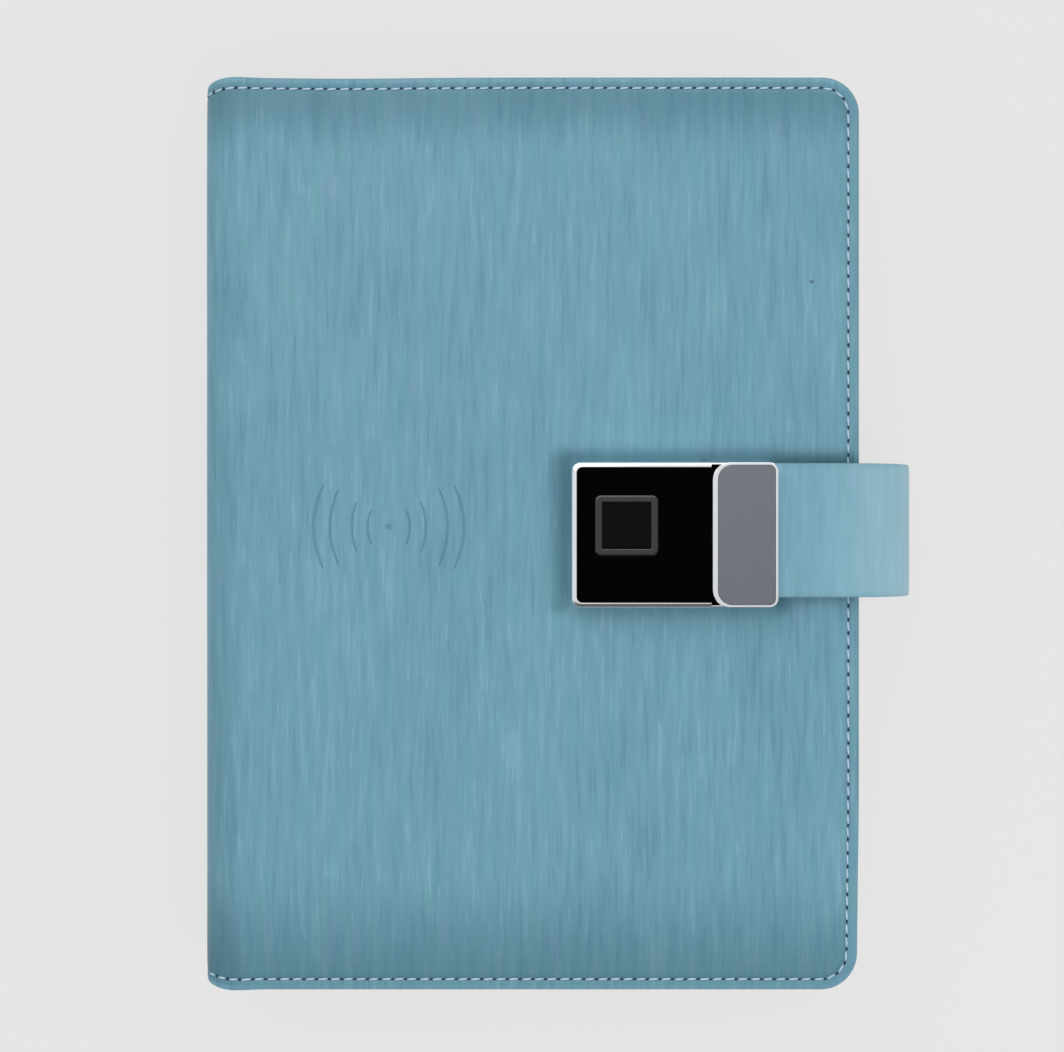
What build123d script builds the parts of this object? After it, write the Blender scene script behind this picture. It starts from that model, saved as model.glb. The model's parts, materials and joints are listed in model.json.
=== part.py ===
"""Ring-bound notebook with a built-in power bank, a touch lock and a strap clasp.

Millimetres. X runs from the spine to the fore edge, Y up the page, Z out of the front
cover. The origin is the centre of the back cover's underside, on which the book rests.
"""

import os
from math import cos, degrees, radians, sin

from build123d import *

# Closed book
cover_length = 235.0
cover_width = 168.0
book_thickness = 34.0
corner_radius = 9.5
shoulder_radius = 9.5
edge_round = 1.6
least_corner = 0.5

# Layers of the covers
skin = 1.2
back_board_thick = 2.2
front_board_thick = 2.0
foam_thick = 2.0
lining_thick = 0.8
spine_board_thick = 2.0
board_margin = 0.2
lining_margin = 1.0

# Wireless coil under the pressed sign
coil_from_spine = 47.0
coil_y = 1.65
coil_radius = 21.5
coil_hole_radius = 9.0
coil_thick = 0.9
ferrite_thick = 0.9
ferrite_margin = 1.0
coil_clearance = 0.5
coil_sides = 24

# Power bank case on the inside of the front cover
case_ring_gap = 18.5
case_fore_gap = 6.0
case_end_gap = 20.5
case_depth = 9.0
case_wall = 1.5
case_back_thick = 1.2
case_corner = 5.0
case_edge = 1.0
cell_side_gap = 3.5
cell_board_gap = 15.0
cell_thick = 5.4
cell_gap = 2.0
cell_end_gap = 1.5
circuit_thick = 1.2
circuit_depth = 26.0
circuit_side_gap = 4.0
circuit_height = 4.2
port_clearance = 0.2

# Sockets on the case's lower end
output_inset = 28.0
output_width = 13.1
output_height = 5.7
output_depth = 14.0
output_tongue_width = 11.0
output_tongue_thick = 1.8
charge_inset = 48.0
charge_width = 9.0
charge_height = 3.3
charge_corner = 1.6
charge_depth = 7.4
charge_tongue_width = 6.7
charge_tongue_thick = 0.7
socket_wall = 0.3
tongue_setback = 1.2

# Power button and charge lights on the case's face
button_inset = 16.0
button_rise = 17.0
button_radius = 4.5
button_clearance = 0.15
button_proud = 0.5
button_travel = 0.6
button_flange = 0.8
button_flange_thick = 0.7
button_gap = 0.1
switch_side = 5.0
light_width = 3.0
light_height = 1.0
light_pitch = 6.0
light_count = 4
light_from_button = 14.0

# Ring mechanism on the back cover
ring_from_spine = 21.5
shell_half_width = 10.5
shell_height = 4.0
shell_wall = 0.7
shell_end_gap = 13.0
blade_thick = 0.8
blade_lift = 0.9
blade_outer = 6.4
blade_gap = 0.4
blade_end_gap = 3.0
wire_radius = 1.2
wire_sides = 6
wire_root_x = 5.0
ring_top = 21.0
post_bend = 4.6
bow_out = 10.5
bow_start = 4.4
bow_end = 8.6
bow_bend = 8.0
bow_ease = 3.0
bow_foot_bend = 1.8
tip_gap = 0.3
slot_clearance = 0.5
slot_swing = 0.5
ring_pitch = 19.0
ring_group_gap = 70.0
rings_in_group = 3
rivet_radius = 1.8
rivet_head_radius = 3.4
rivet_head = 0.7
rivet_from_end = 10.0
lever_half_width = 3.2
lever_thick = 0.9
lever_reach = 8.6
lever_inside = 4.0
lever_rise = 2.2
lever_pin_lift = 2.0
lever_pin_radius = 0.72
lever_clearance = 0.3

# Paper
paper_fore_gap = 3.9
paper_end_gap = 12.5
paper_thick = 13.2
paper_hole_radius = 3.2
paper_hole_sides = 16
paper_hole_shift = 1.3
paper_hole_margin = 5.7
paper_over_shell = 0.5
paper_ramp = 12.0
paper_lift = 0.3
divider_thick = 0.6
divider_margin = 1.0

# Touch lock on the front cover
lock_from_edge = 48.4
lock_y = -0.35
lock_length = 52.0
lock_width = 37.0
lock_height = 8.4
lock_shelf = 2.4
lock_tall = 35.4
lock_wall = 1.4
lock_floor = 1.0
lock_corner = 2.2
lock_edge = 0.4
face_thick = 1.2
face_clearance = 0.1
sensor_inset = 14.0
sensor_rise = 2.35
sensor_ring_width = 16.1
sensor_ring_height = 15.5
sensor_ring_band = 1.9
sensor_ring_proud = 0.35
sensor_ring_thick = 1.6
sensor_corner = 1.5
sensor_window_corner = 0.75
sensor_window_drop = 0.3
lock_cell_thick = 2.4
lock_cell_width = 21.0
lock_cell_length = 17.5
lock_board_thick = 1.0
screw_radius = 1.1
screw_clearance = 0.2
screw_head_radius = 2.1
screw_head = 1.0
screw_inset = 3.9
screw_bite = 2.2
boss_radius = 2.2
fastener_sides = 8

# Bolt, its coil and its spring
bolt_height = 4.9
bolt_width = 5.0
bolt_thick = 2.4
bolt_travel = 2.4
bolt_reach = 2.2
bolt_shank_radius = 1.5
bolt_collar_radius = 2.2
bolt_collar = 0.9
bolt_collar_gap = 0.3
bolt_clearance = 0.2
shank_length = 7.4
shank_clearance = 0.08
coil_body_length = 5.5
coil_body_width = 10.0
coil_body_height = 6.0
spring_room = 4.2
spring_radius = 2.1
spring_bore_radius = 1.7
spring_clearance = 0.05

# Clasp at the strap's end
clasp_gap = 0.3
clasp_inset = 0.2
clasp_rim = 1.4
clasp_side = 0.6
clasp_right_rim = 0.7
clasp_floor = 0.8
clasp_corner = 2.0
clasp_edge = 0.25
clasp_plate_thick = 1.1
clasp_plate_drop = 0.1
clasp_plate_gap = 0.05
catch_length = 4.0
catch_width = 16.0
catch_wall = 1.4
strap_slot_clearance = 0.2
clasp_rivet_radius = 1.3
clasp_rivet_pitch = 11.0
clasp_rivet_count = 3
clasp_rivet_inset = 5.0

# Strap
strap_width = 34.1
strap_y = 0.85
strap_layer = 1.2
strap_in_clasp = 9.4
strap_level = 4.0
arch_inset = 2.6
arch_drop = 14.2
arch_radius = 17.4
arch_top_angle = 75.0
arch_bottom_angle = -70.0
fold_inner = 1.5
fold_outer = 2.6
strap_root_length = 20.0
strap_root_lift = 0.05
fold_gap = 0.35

# Places worked out from the sizes above
spine_x = -cover_width / 2
fore_x = cover_width / 2
half_length = cover_length / 2
panel_x = spine_x + shoulder_radius
ring_x = spine_x + ring_from_spine
coil_x = spine_x + coil_from_spine
back_inner = skin + back_board_thick + lining_thick
front_lining_z = book_thickness - skin - foam_thick - front_board_thick - lining_thick
front_board_z = front_lining_z + lining_thick
foam_z = front_board_z + front_board_thick
front_skin_z = foam_z + foam_thick
spine_low = shoulder_radius
spine_high = book_thickness - shoulder_radius
case_face = front_lining_z - case_depth
case_floor = case_face + case_wall
case_back_z = front_lining_z - case_back_thick
case_left = ring_x + case_ring_gap
case_right = fore_x - case_fore_gap
case_half = half_length - case_end_gap
case_low = -case_half
circuit_z = case_face + circuit_height
output_x = case_right - output_inset
charge_x = case_right - charge_inset
button_x = case_right - button_inset
button_y = case_low + button_rise
shell_half_length = half_length - shell_end_gap
ring_rows = [
    side * (ring_group_gap / 2 + ring_pitch * n)
    for side in (-1, 1)
    for n in range(rings_in_group)
]
post_x = ring_x + wire_root_x
hole_x = post_x + paper_hole_shift
paper_left = hole_x - paper_hole_margin
paper_right = fore_x - paper_fore_gap
paper_half = half_length - paper_end_gap
paper_low = back_inner + paper_lift
paper_high = paper_low + paper_thick
lock_x = fore_x - lock_from_edge
lock_left = lock_x - lock_length / 2
lock_right = lock_x + lock_length / 2
sensor_x = lock_left + sensor_inset
sensor_y = lock_y + sensor_rise
lock_end = lock_left + lock_tall
lock_top = book_thickness + lock_height
lock_floor_top = book_thickness + lock_floor
shelf_top = book_thickness + lock_shelf
face_z = lock_top - face_thick
bolt_z = book_thickness + bolt_height
clasp_width = lock_width - 2 * clasp_inset
clasp_left = lock_end + clasp_gap
clasp_right = lock_right + clasp_gap
clasp_low = shelf_top + clasp_gap
clasp_floor_top = clasp_low + clasp_floor
strap_z = clasp_floor_top + strap_layer
arch_x = fore_x - arch_inset
arch_z = book_thickness - arch_drop


def block(x0, x1, y0, y1, z0, z1):
    """A box between two corners."""
    middle = ((x0 + x1) / 2, (y0 + y1) / 2, (z0 + z1) / 2)
    return Pos(*middle) * Box(x1 - x0, y1 - y0, z1 - z0)


def disc(x, y, z0, z1, radius):
    """An upright cylinder from z0 to z1."""
    return Pos(x, y, (z0 + z1) / 2) * Cylinder(radius, z1 - z0)


def peg(x, y, z0, z1, radius, sides=fastener_sides):
    """An upright fastener or punched hole, drawn with flats, from z0 to z1."""
    return Pos(x, y, z0) * extrude(RegularPolygon(radius, sides), z1 - z0)


def bar(x0, x1, y, z, radius):
    """A pin along X from x0 to x1, drawn with flats."""
    section = Pos(x0, y, z) * Rot(0, 90, 0) * RegularPolygon(radius, fastener_sides)
    return extrude(section, x1 - x0, dir=(1, 0, 0))


def rounded(x0, x1, y0, y1, z0, z1, radius):
    """A plate with four rounded upright corners."""
    outline = RectangleRounded(x1 - x0, y1 - y0, radius)
    return extrude(Pos((x0 + x1) / 2, (y0 + y1) / 2, z0) * outline, z1 - z0)


def cover_plate(inset, z0, z1):
    """A cover's outline, square at the spine and rounded at the fore edge."""
    half = half_length - inset
    plate = block(panel_x, fore_x - inset, -half, half, z0, z1)
    corners = plate.edges().filter_by(Axis.Z).group_by(Axis.X)[-1]
    return fillet(corners, max(corner_radius - inset, least_corner))


def cover_rim(plate, end):
    """The edges round a cover's outer face, apart from the one at the spine."""
    face_edges = plate.edges().group_by(Axis.Z)[end]
    return face_edges.filter_by_position(Axis.X, panel_x + edge_round, fore_x)


def profile_sweep(face, y0, y1):
    """A face drawn in X and Z, carried along Y from y0 to y1."""
    return Pos(0, y0, 0) * extrude(face, y1 - y0, dir=(0, 1, 0))


def ring_sector(x, z, inner, outer, start, stop, y0, y1):
    """Part of a tube along Y, between two angles measured from +X towards +Z."""

    def at(radius, angle):
        return (x + radius * cos(radians(angle)), 0, z + radius * sin(radians(angle)))

    middle = (start + stop) / 2
    face = make_face(
        ThreePointArc(at(outer, start), at(outer, middle), at(outer, stop))
        + Line(at(outer, stop), at(inner, stop))
        + ThreePointArc(at(inner, stop), at(inner, middle), at(inner, start))
        + Line(at(inner, start), at(outer, start))
    )
    return profile_sweep(face, y0, y1)


def outline_xz(points):
    """A closed face from corner points in X and Z."""
    corners = [(x, 0, z) for x, z in points]
    return make_face(Polyline(*corners, close=True))


def wire(points, radius, bends):
    """A round wire bent along corner points in X and Z."""
    path = FilletPolyline(*[(x, 0, z) for x, z in points], radius=bends)
    start = Plane(origin=path @ 0, x_dir=(0, 1, 0), z_dir=path % 0)
    return sweep(start * RegularPolygon(radius, wire_sides), path=path)


def arc_point(radius, angle):
    """A point on the strap's arch, in X and Z."""
    return (arch_x + radius * cos(radians(angle)), arch_z + radius * sin(radians(angle)))


def back_cover():
    """The back cover's skin, board, lining and the strap's sewn end."""
    plate = cover_plate(0, 0, back_inner)
    plate = chamfer(cover_rim(plate, 0), edge_round)
    hollow = cover_plate(skin, skin, back_inner)
    strap_low = skin + strap_root_lift
    strap_pocket = block(
        fore_x - strap_root_length - board_margin,
        fore_x + skin,
        strap_y - strap_width / 2 - strap_slot_clearance,
        strap_y + strap_width / 2 + strap_slot_clearance,
        skin,
        strap_low + strap_layer + strap_root_lift,
    )
    board = cover_plate(skin + board_margin, skin, skin + back_board_thick)
    lining = cover_plate(lining_margin + skin, skin + back_board_thick, back_inner)
    for y in rivet_rows():
        board -= peg(ring_x, y, skin, back_inner, rivet_radius)
        board -= peg(ring_x, y, skin, skin + rivet_head, rivet_head_radius)
        lining -= peg(ring_x, y, skin, back_inner, rivet_radius)
    return {
        "back_skin": plate - hollow - strap_pocket,
        "back_board": board - strap_pocket,
        "back_lining": lining,
        "strap_root": strap_stub(strap_low),
    }


def strap_stub(low):
    """The strap's end: one layer under the board, rising to the lower fold."""
    middle = low + strap_layer / 2
    end_angle = arch_bottom_angle - degrees((fold_inner + fold_gap) / arch_radius)
    points = [
        (fore_x - strap_root_length, middle),
        (fore_x + fold_gap, middle),
        arc_point(arch_radius, end_angle),
    ]
    return layer(points, strap_layer / 2)


def layer(points, half, shift=0.0):
    """A strip as wide as the strap, of even thickness about a line of points."""
    upper = []
    lower = []
    for n, (x, z) in enumerate(points):
        before = points[max(n - 1, 0)]
        after = points[min(n + 1, len(points) - 1)]
        along = Vector(after[0] - before[0], 0, after[1] - before[1]).normalized()
        across = Vector(-along.Z, 0, along.X)
        upper.append((x + across.X * (shift + half), z + across.Z * (shift + half)))
        lower.append((x + across.X * (shift - half), z + across.Z * (shift - half)))
    face = outline_xz(upper + lower[::-1])
    return profile_sweep(face, strap_y - strap_width / 2, strap_y + strap_width / 2)


def rivet_rows():
    """The ring mechanism's two rivets, near the ends of its shell."""
    return [side * (shell_half_length - rivet_from_end) for side in (-1, 1)]


def spine():
    """The spine's skin, board and lining, and the two soft creases beside it."""
    face_x = spine_x + skin
    board_x = face_x + spine_board_thick
    end = half_length - skin
    wrap = block(spine_x, board_x, -half_length, half_length, spine_low, spine_high)
    wrap -= block(face_x, board_x, -end, end, spine_low, spine_high)
    board_end = end - board_margin
    lining_x = board_x + lining_thick
    return {
        "spine_skin": wrap,
        "spine_board": block(face_x, board_x, -board_end, board_end, spine_low, spine_high),
        "spine_lining": block(board_x, lining_x, -end, end, spine_low, spine_high),
        "crease_lower": crease(spine_low, 180),
        "crease_upper": crease(spine_high, 90),
    }


def crease(z, start):
    """The soft quarter round of leather between the spine and one cover."""
    inner = shoulder_radius - skin
    ends = (-half_length, half_length)
    return ring_sector(panel_x, z, inner, shoulder_radius, start, start + 90, *ends)


def lock_screw_places():
    """The four corners of the lock's tall part where its screws come up."""
    return [
        (x, lock_y + side * (lock_width / 2 - screw_inset))
        for x in (lock_left + screw_inset, lock_end - screw_inset)
        for side in (-1, 1)
    ]


def front_cover():
    """The front cover's padded skin, foam, board and lining."""
    plate = cover_plate(0, front_lining_z, book_thickness)
    plate = fillet(cover_rim(plate, -1), edge_round)
    plate -= cover_plate(skin, front_lining_z, front_skin_z)
    foam = cover_plate(skin, foam_z, front_skin_z)
    board = cover_plate(skin + board_margin, front_board_z, foam_z)
    lining = cover_plate(skin + lining_margin, front_lining_z, front_board_z)
    coil_room = coil_radius + ferrite_margin + coil_clearance
    board -= peg(coil_x, coil_y, front_board_z, foam_z, coil_room, coil_sides)
    head_top = front_board_z + screw_head
    for x, y in lock_screw_places():
        hole = peg(x, y, front_board_z, book_thickness, screw_radius + screw_clearance)
        plate -= hole
        foam -= hole
        board -= hole
        board -= peg(x, y, front_board_z, head_top, screw_head_radius + screw_clearance)
    return {
        "front_skin": plate,
        "front_foam": foam,
        "front_board": board,
        "front_lining": lining,
    }


def wireless_coil():
    """The flat charging coil and the ferrite disc under it, in the board's round hole."""
    ferrite_top = front_board_z + ferrite_thick
    coil_top = ferrite_top + coil_thick
    winding = peg(coil_x, coil_y, ferrite_top, coil_top, coil_radius, coil_sides)
    winding -= peg(coil_x, coil_y, ferrite_top, coil_top, coil_hole_radius, coil_sides)
    ferrite_radius = coil_radius + ferrite_margin
    ferrite = peg(coil_x, coil_y, front_board_z, ferrite_top, ferrite_radius, coil_sides)
    return {"coil_ferrite": ferrite, "coil_winding": winding}


def port(x, width, height, corner):
    """A socket's outline on the case's lower end, round-ended if it has a corner radius."""
    low = Plane(
        origin=(x, case_low, circuit_z + circuit_thick / 2), x_dir=(1, 0, 0), z_dir=(0, 1, 0)
    )
    outline = RectangleRounded(width, height, corner) if corner else Rectangle(width, height)
    return low * outline


def socket(x, width, height, depth, corner, tongue_width, tongue_thick):
    """A drawn metal socket shell with its tongue, open at the case's lower end."""
    z = circuit_z + circuit_thick / 2
    inner_width = width - 2 * socket_wall
    inner_height = height - 2 * socket_wall
    inner_corner = max(corner - socket_wall, 0)
    shell = extrude(port(x, width, height, corner), depth)
    shell -= extrude(port(x, inner_width, inner_height, inner_corner), depth - socket_wall)
    tongue = block(
        x - tongue_width / 2,
        x + tongue_width / 2,
        case_low + tongue_setback,
        case_low + depth - socket_wall,
        z - tongue_thick / 2,
        z + tongue_thick / 2,
    )
    return shell + tongue


def case_shell():
    """The case's open shell, with its ports and the holes in its face."""
    shell = rounded(
        case_left, case_right, -case_half, case_half, case_face, case_back_z, case_corner
    )
    shell = chamfer(shell.edges().group_by(Axis.Z)[0], case_edge)
    shell -= rounded(
        case_left + case_wall,
        case_right - case_wall,
        case_wall - case_half,
        case_half - case_wall,
        case_floor,
        case_back_z,
        case_corner - case_wall,
    )
    for x, width, height, corner in (
        (output_x, output_width, output_height, 0),
        (charge_x, charge_width, charge_height, charge_corner),
    ):
        hole = port(x, width + 2 * port_clearance, height + 2 * port_clearance, corner)
        shell -= extrude(hole, case_wall)
    shell -= disc(button_x, button_y, case_face, case_floor, button_radius + button_clearance)
    return shell - light_windows()


def light_windows():
    """The charge lights' milky windows in a row left of the button."""
    windows = []
    for n in range(light_count):
        x = button_x - light_from_button - n * light_pitch
        low = (x - light_width / 2, button_y - light_height / 2, case_face)
        window = Box(
            light_width, light_height, case_wall, align=(Align.MIN, Align.MIN, Align.MIN)
        )
        windows.append(Pos(*low) * window)
    return windows


def battery_cells():
    """Two flat pouch cells side by side above the circuit board."""
    inside = case_right - case_left - 2 * (case_wall + cell_side_gap)
    width = (inside - cell_gap) / 2
    low = case_low + circuit_depth + cell_board_gap
    top = case_half - case_wall - cell_end_gap
    cells = []
    for n in (0, 1):
        x = case_left + case_wall + cell_side_gap + n * (width + cell_gap)
        cells.append(block(x, x + width, low, top, case_floor, case_floor + cell_thick))
    return Compound(cells)


def charger_board():
    """The circuit board across the case's lower end, cut out round both sockets."""
    circuit_top = circuit_z + circuit_thick
    board = block(
        case_left + circuit_side_gap,
        case_right - circuit_side_gap,
        case_low + case_wall + port_clearance,
        case_low + circuit_depth,
        circuit_z,
        circuit_top,
    )
    for x, width, depth in (
        (output_x, output_width, output_depth),
        (charge_x, charge_width, charge_depth),
    ):
        reach = width / 2 + port_clearance
        far = case_low + depth + port_clearance
        board -= block(x - reach, x + reach, case_low, far, circuit_z, circuit_top)
    return board


def power_button():
    """The round button with its flange, and the switch on the circuit board above it."""
    flange_low = case_floor + button_gap
    flange_top = flange_low + button_flange_thick
    button = disc(button_x, button_y, case_face - button_proud, flange_top, button_radius)
    button += disc(button_x, button_y, flange_low, flange_top, button_radius + button_flange)
    half = switch_side / 2
    switch = block(
        button_x - half,
        button_x + half,
        button_y - half,
        button_y + half,
        flange_top + button_travel + button_gap,
        circuit_z,
    )
    return {"power_button": button, "button_switch": switch}


def power_bank():
    """The power bank case with its cells, board, sockets, button and lights."""
    back = rounded(
        case_left, case_right, -case_half, case_half, case_back_z, front_lining_z, case_corner
    )
    return {
        "case_shell": case_shell(),
        "case_back": back,
        "battery_cells": battery_cells(),
        "charger_board": charger_board(),
        "output_socket": socket(
            output_x,
            output_width,
            output_height,
            output_depth,
            0,
            output_tongue_width,
            output_tongue_thick,
        ),
        "charge_socket": socket(
            charge_x,
            charge_width,
            charge_height,
            charge_depth,
            charge_corner,
            charge_tongue_width,
            charge_tongue_thick,
        ),
        "charge_lights": Compound(light_windows()),
        **power_button(),
    }


def lock_body():
    """The lock's bright housing: a tall box for the works and a low shelf for the clasp."""
    y0 = lock_y - lock_width / 2
    y1 = lock_y + lock_width / 2
    base = rounded(lock_left, lock_right, y0, y1, book_thickness, lock_top, lock_corner)
    base = chamfer(base.edges().group_by(Axis.Z)[-1], lock_edge)
    base -= block(lock_end, lock_right, y0, y1, shelf_top, lock_top)
    base -= block(
        lock_left + lock_wall,
        lock_end - lock_wall,
        y0 + lock_wall,
        y1 - lock_wall,
        lock_floor_top,
        lock_top,
    )
    half = bolt_width / 2 + bolt_clearance
    tall = bolt_thick / 2 + bolt_clearance
    base -= block(
        lock_end - lock_wall, lock_end, lock_y - half, lock_y + half, bolt_z - tall, bolt_z + tall
    )
    for x, y in lock_screw_places():
        base += peg(x, y, lock_floor_top, lock_floor_top + screw_bite, boss_radius)
        base -= peg(x, y, book_thickness, book_thickness + screw_bite, screw_radius)
    return base


def sensor_box(inset):
    """The fingerprint sensor's outline as x0, x1, y0, y1, moved in by an inset."""
    half_x = sensor_ring_width / 2 - inset
    half_y = sensor_ring_height / 2 - inset
    return (sensor_x - half_x, sensor_x + half_x, sensor_y - half_y, sensor_y + half_y)


def lock_front():
    """The black face with the sensor's raised ring and its window."""
    gap = lock_wall + face_clearance
    face = block(
        lock_left + gap,
        lock_end - gap,
        lock_y - lock_width / 2 + gap,
        lock_y + lock_width / 2 - gap,
        face_z,
        lock_top - face_clearance,
    )
    ring_top_z = lock_top + sensor_ring_proud
    ring_low_z = ring_top_z - sensor_ring_thick
    outline = sensor_box(0)
    opening = sensor_box(sensor_ring_band)
    ring = rounded(*outline, ring_low_z, ring_top_z, sensor_corner)
    face -= rounded(*outline, face_z, lock_top, sensor_corner)
    ring -= rounded(*opening, ring_low_z, ring_top_z, sensor_window_corner)
    window_low = lock_floor_top + lock_cell_thick + lock_board_thick
    window_top = ring_top_z - sensor_window_drop
    return {
        "lock_face": face,
        "sensor_ring": ring,
        "sensor_window": rounded(*opening, window_low, window_top, sensor_window_corner),
    }


def lock_works():
    """The cell, circuit board, release coil, bolt and bolt spring inside the housing."""
    board_low = lock_floor_top + lock_cell_thick
    left = lock_left + lock_wall + bolt_clearance
    right = left + lock_cell_width - lock_wall
    half_cell = lock_cell_length / 2
    cell = block(left, right, lock_y - half_cell, lock_y + half_cell, lock_floor_top, board_low)
    half_board = lock_width / 2 - lock_wall - screw_inset - boss_radius
    board = block(
        left,
        right,
        lock_y - half_board,
        lock_y + half_board,
        board_low,
        board_low + lock_board_thick,
    )
    shoulder = lock_end - lock_wall - bolt_collar_gap
    collar_left = shoulder - bolt_collar
    coil_right = collar_left - spring_room
    coil_left = coil_right - coil_body_length
    coil = block(
        coil_left,
        coil_right,
        lock_y - coil_body_width / 2,
        lock_y + coil_body_width / 2,
        lock_floor_top,
        lock_floor_top + coil_body_height,
    )
    coil -= bar(coil_left, coil_right, lock_y, bolt_z, bolt_shank_radius + shank_clearance)
    bolt = bar(collar_left - shank_length, collar_left, lock_y, bolt_z, bolt_shank_radius)
    bolt += bar(collar_left, shoulder, lock_y, bolt_z, bolt_collar_radius)
    nose = block(
        shoulder,
        lock_end + bolt_reach,
        lock_y - bolt_width / 2,
        lock_y + bolt_width / 2,
        bolt_z - bolt_thick / 2,
        bolt_z + bolt_thick / 2,
    )
    bolt += chamfer(nose.edges().group_by(Axis.X)[-1].filter_by(Axis.Y), bolt_clearance)
    spring_left = coil_right + spring_clearance
    spring_right = collar_left - spring_clearance
    spring = bar(spring_left, spring_right, lock_y, bolt_z, spring_radius)
    spring -= bar(spring_left, spring_right, lock_y, bolt_z, spring_bore_radius)
    return {
        "lock_cell": cell,
        "lock_board": board,
        "release_coil": coil,
        "latch_bolt": bolt,
        "bolt_spring": spring,
    }


def lock_screws():
    """The four screws that hold the lock's housing from inside the cover."""
    screws = []
    for x, y in lock_screw_places():
        shank = peg(x, y, front_board_z, book_thickness + screw_bite, screw_radius)
        head = peg(x, y, front_board_z, front_board_z + screw_head, screw_head_radius)
        screws.append(shank + head)
    return Compound(screws)


def ring_shell():
    """The curved cover of the ring mechanism, with a slot for each ring half."""
    outer_radius = (shell_half_width**2 + shell_height**2) / (2 * shell_height)
    centre_z = back_inner + shell_height - outer_radius
    section = Circle(outer_radius) - Circle(outer_radius - shell_wall)
    section = Pos(ring_x, shell_half_length, centre_z) * Rot(90, 0, 0) * section
    shell = extrude(section, 2 * shell_half_length, dir=(0, -1, 0)) & block(
        ring_x - shell_half_width,
        ring_x + shell_half_width,
        -shell_half_length,
        shell_half_length,
        back_inner,
        back_inner + shell_height,
    )
    slot_low = back_inner + blade_lift
    slot_high = back_inner + shell_height
    reach = wire_radius + slot_clearance
    across = reach + slot_swing / 2
    for y in ring_rows:
        for side in (-1, 1):
            x = ring_x + side * (wire_root_x + slot_swing / 2)
            shell -= block(x - across, x + across, y - reach, y + reach, slot_low, slot_high)
    for y in rivet_rows():
        shell -= peg(ring_x, y, back_inner, slot_high, rivet_radius)
    return shell


def ring_blade(side):
    """One of the two blades that carry the ring halves, notched round the rivets."""
    near = ring_x + side * blade_gap / 2
    far = ring_x + side * blade_outer
    half = shell_half_length - blade_end_gap - lever_inside
    low = back_inner + blade_lift
    blade = block(min(near, far), max(near, far), -half, half, low, low + blade_thick)
    for y in rivet_rows():
        blade -= peg(ring_x, y, low, low + blade_thick, rivet_radius + slot_clearance)
    return blade


def ring_rivets():
    """The two rivets that hold the ring mechanism's shell to the back board."""
    shell_top = back_inner + shell_height
    rivets = []
    for y in rivet_rows():
        rivet = peg(ring_x, y, skin, shell_top, rivet_radius)
        rivets.append(rivet + peg(ring_x, y, skin, skin + rivet_head, rivet_head_radius))
    return Compound(rivets)


def ring_binder():
    """The ring mechanism: curved shell, two blades, ring halves, levers and rivets."""
    bows = [Pos(0, y, 0) * bow_half() for y in ring_rows]
    posts = [Pos(0, y, 0) * post_half() for y in ring_rows]
    return {
        "ring_shell": ring_shell(),
        "ring_blade_left": ring_blade(-1),
        "ring_blade_right": ring_blade(1),
        "ring_halves_left": Compound(bows),
        "ring_halves_right": Compound(posts),
        "ring_rivets": ring_rivets(),
        "ring_lever_top": ring_lever(1),
        "ring_lever_bottom": ring_lever(-1),
    }


def post_half():
    """The straight side of a ring, which carries the sheets, up to its tip."""
    root = back_inner + blade_lift + blade_thick
    top = back_inner + ring_top
    points = [(post_x, root), (post_x, top), (ring_x + tip_gap / 2, top)]
    return wire(points, wire_radius, post_bend)


def bow_half():
    """The bowed side of a ring, towards the spine."""
    root = back_inner + blade_lift + blade_thick
    top = back_inner + ring_top
    points = [
        (ring_x - wire_root_x, root),
        (ring_x - wire_root_x, back_inner + bow_start),
        (ring_x - bow_out, back_inner + bow_end),
        (ring_x - bow_out, top),
        (ring_x - tip_gap / 2, top),
    ]
    return wire(points, wire_radius, [bow_foot_bend, bow_ease, bow_bend])


def ring_lever(end):
    """An opening lever at one end of the ring shell, from its pin to its raised tab."""
    pin_y = end * (shell_half_length - lever_inside)
    pin_z = back_inner + lever_pin_lift
    low = pin_z - lever_thick / 2
    bend = end * (shell_half_length + lever_clearance)
    tip = end * (shell_half_length + lever_reach - lever_inside)
    points = [
        (pin_y, low),
        (bend, low),
        (tip, low + lever_rise),
        (tip, low + lever_rise + lever_thick),
        (bend, low + lever_thick),
        (pin_y, low + lever_thick),
    ]
    left = ring_x - lever_half_width
    right = ring_x + lever_half_width
    face = make_face(Polyline(*[(left, y, z) for y, z in points], close=True))
    plate = extrude(face, 2 * lever_half_width, dir=(1, 0, 0))
    return plate + bar(left, right, pin_y, pin_z, lever_pin_radius)


def paper():
    """The block of loose sheets on the posts, and the plastic divider on top of it."""
    shell_clear = back_inner + shell_height + paper_over_shell
    ramp_start = hole_x + paper_hole_radius
    points = [
        (paper_left, shell_clear),
        (ramp_start, shell_clear),
        (ramp_start + paper_ramp, paper_low),
        (paper_right, paper_low),
        (paper_right, paper_high),
        (paper_left, paper_high),
    ]
    stack = profile_sweep(outline_xz(points), -paper_half, paper_half)
    divider_top = paper_high + divider_thick
    sheet = rounded(
        paper_left,
        paper_right + divider_margin,
        -paper_half,
        paper_half,
        paper_high,
        divider_top,
        divider_margin,
    )
    for y in ring_rows:
        hole = peg(hole_x, y, back_inner, divider_top, paper_hole_radius, paper_hole_sides)
        stack -= hole
        sheet -= hole
    return {"paper_block": stack, "divider_sheet": sheet}


def arch_layer(inner, outer, start, stop):
    """One layer of the strap's arch."""
    return ring_sector(
        arch_x,
        arch_z,
        inner,
        outer,
        start,
        stop,
        strap_y - strap_width / 2,
        strap_y + strap_width / 2,
    )


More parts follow.
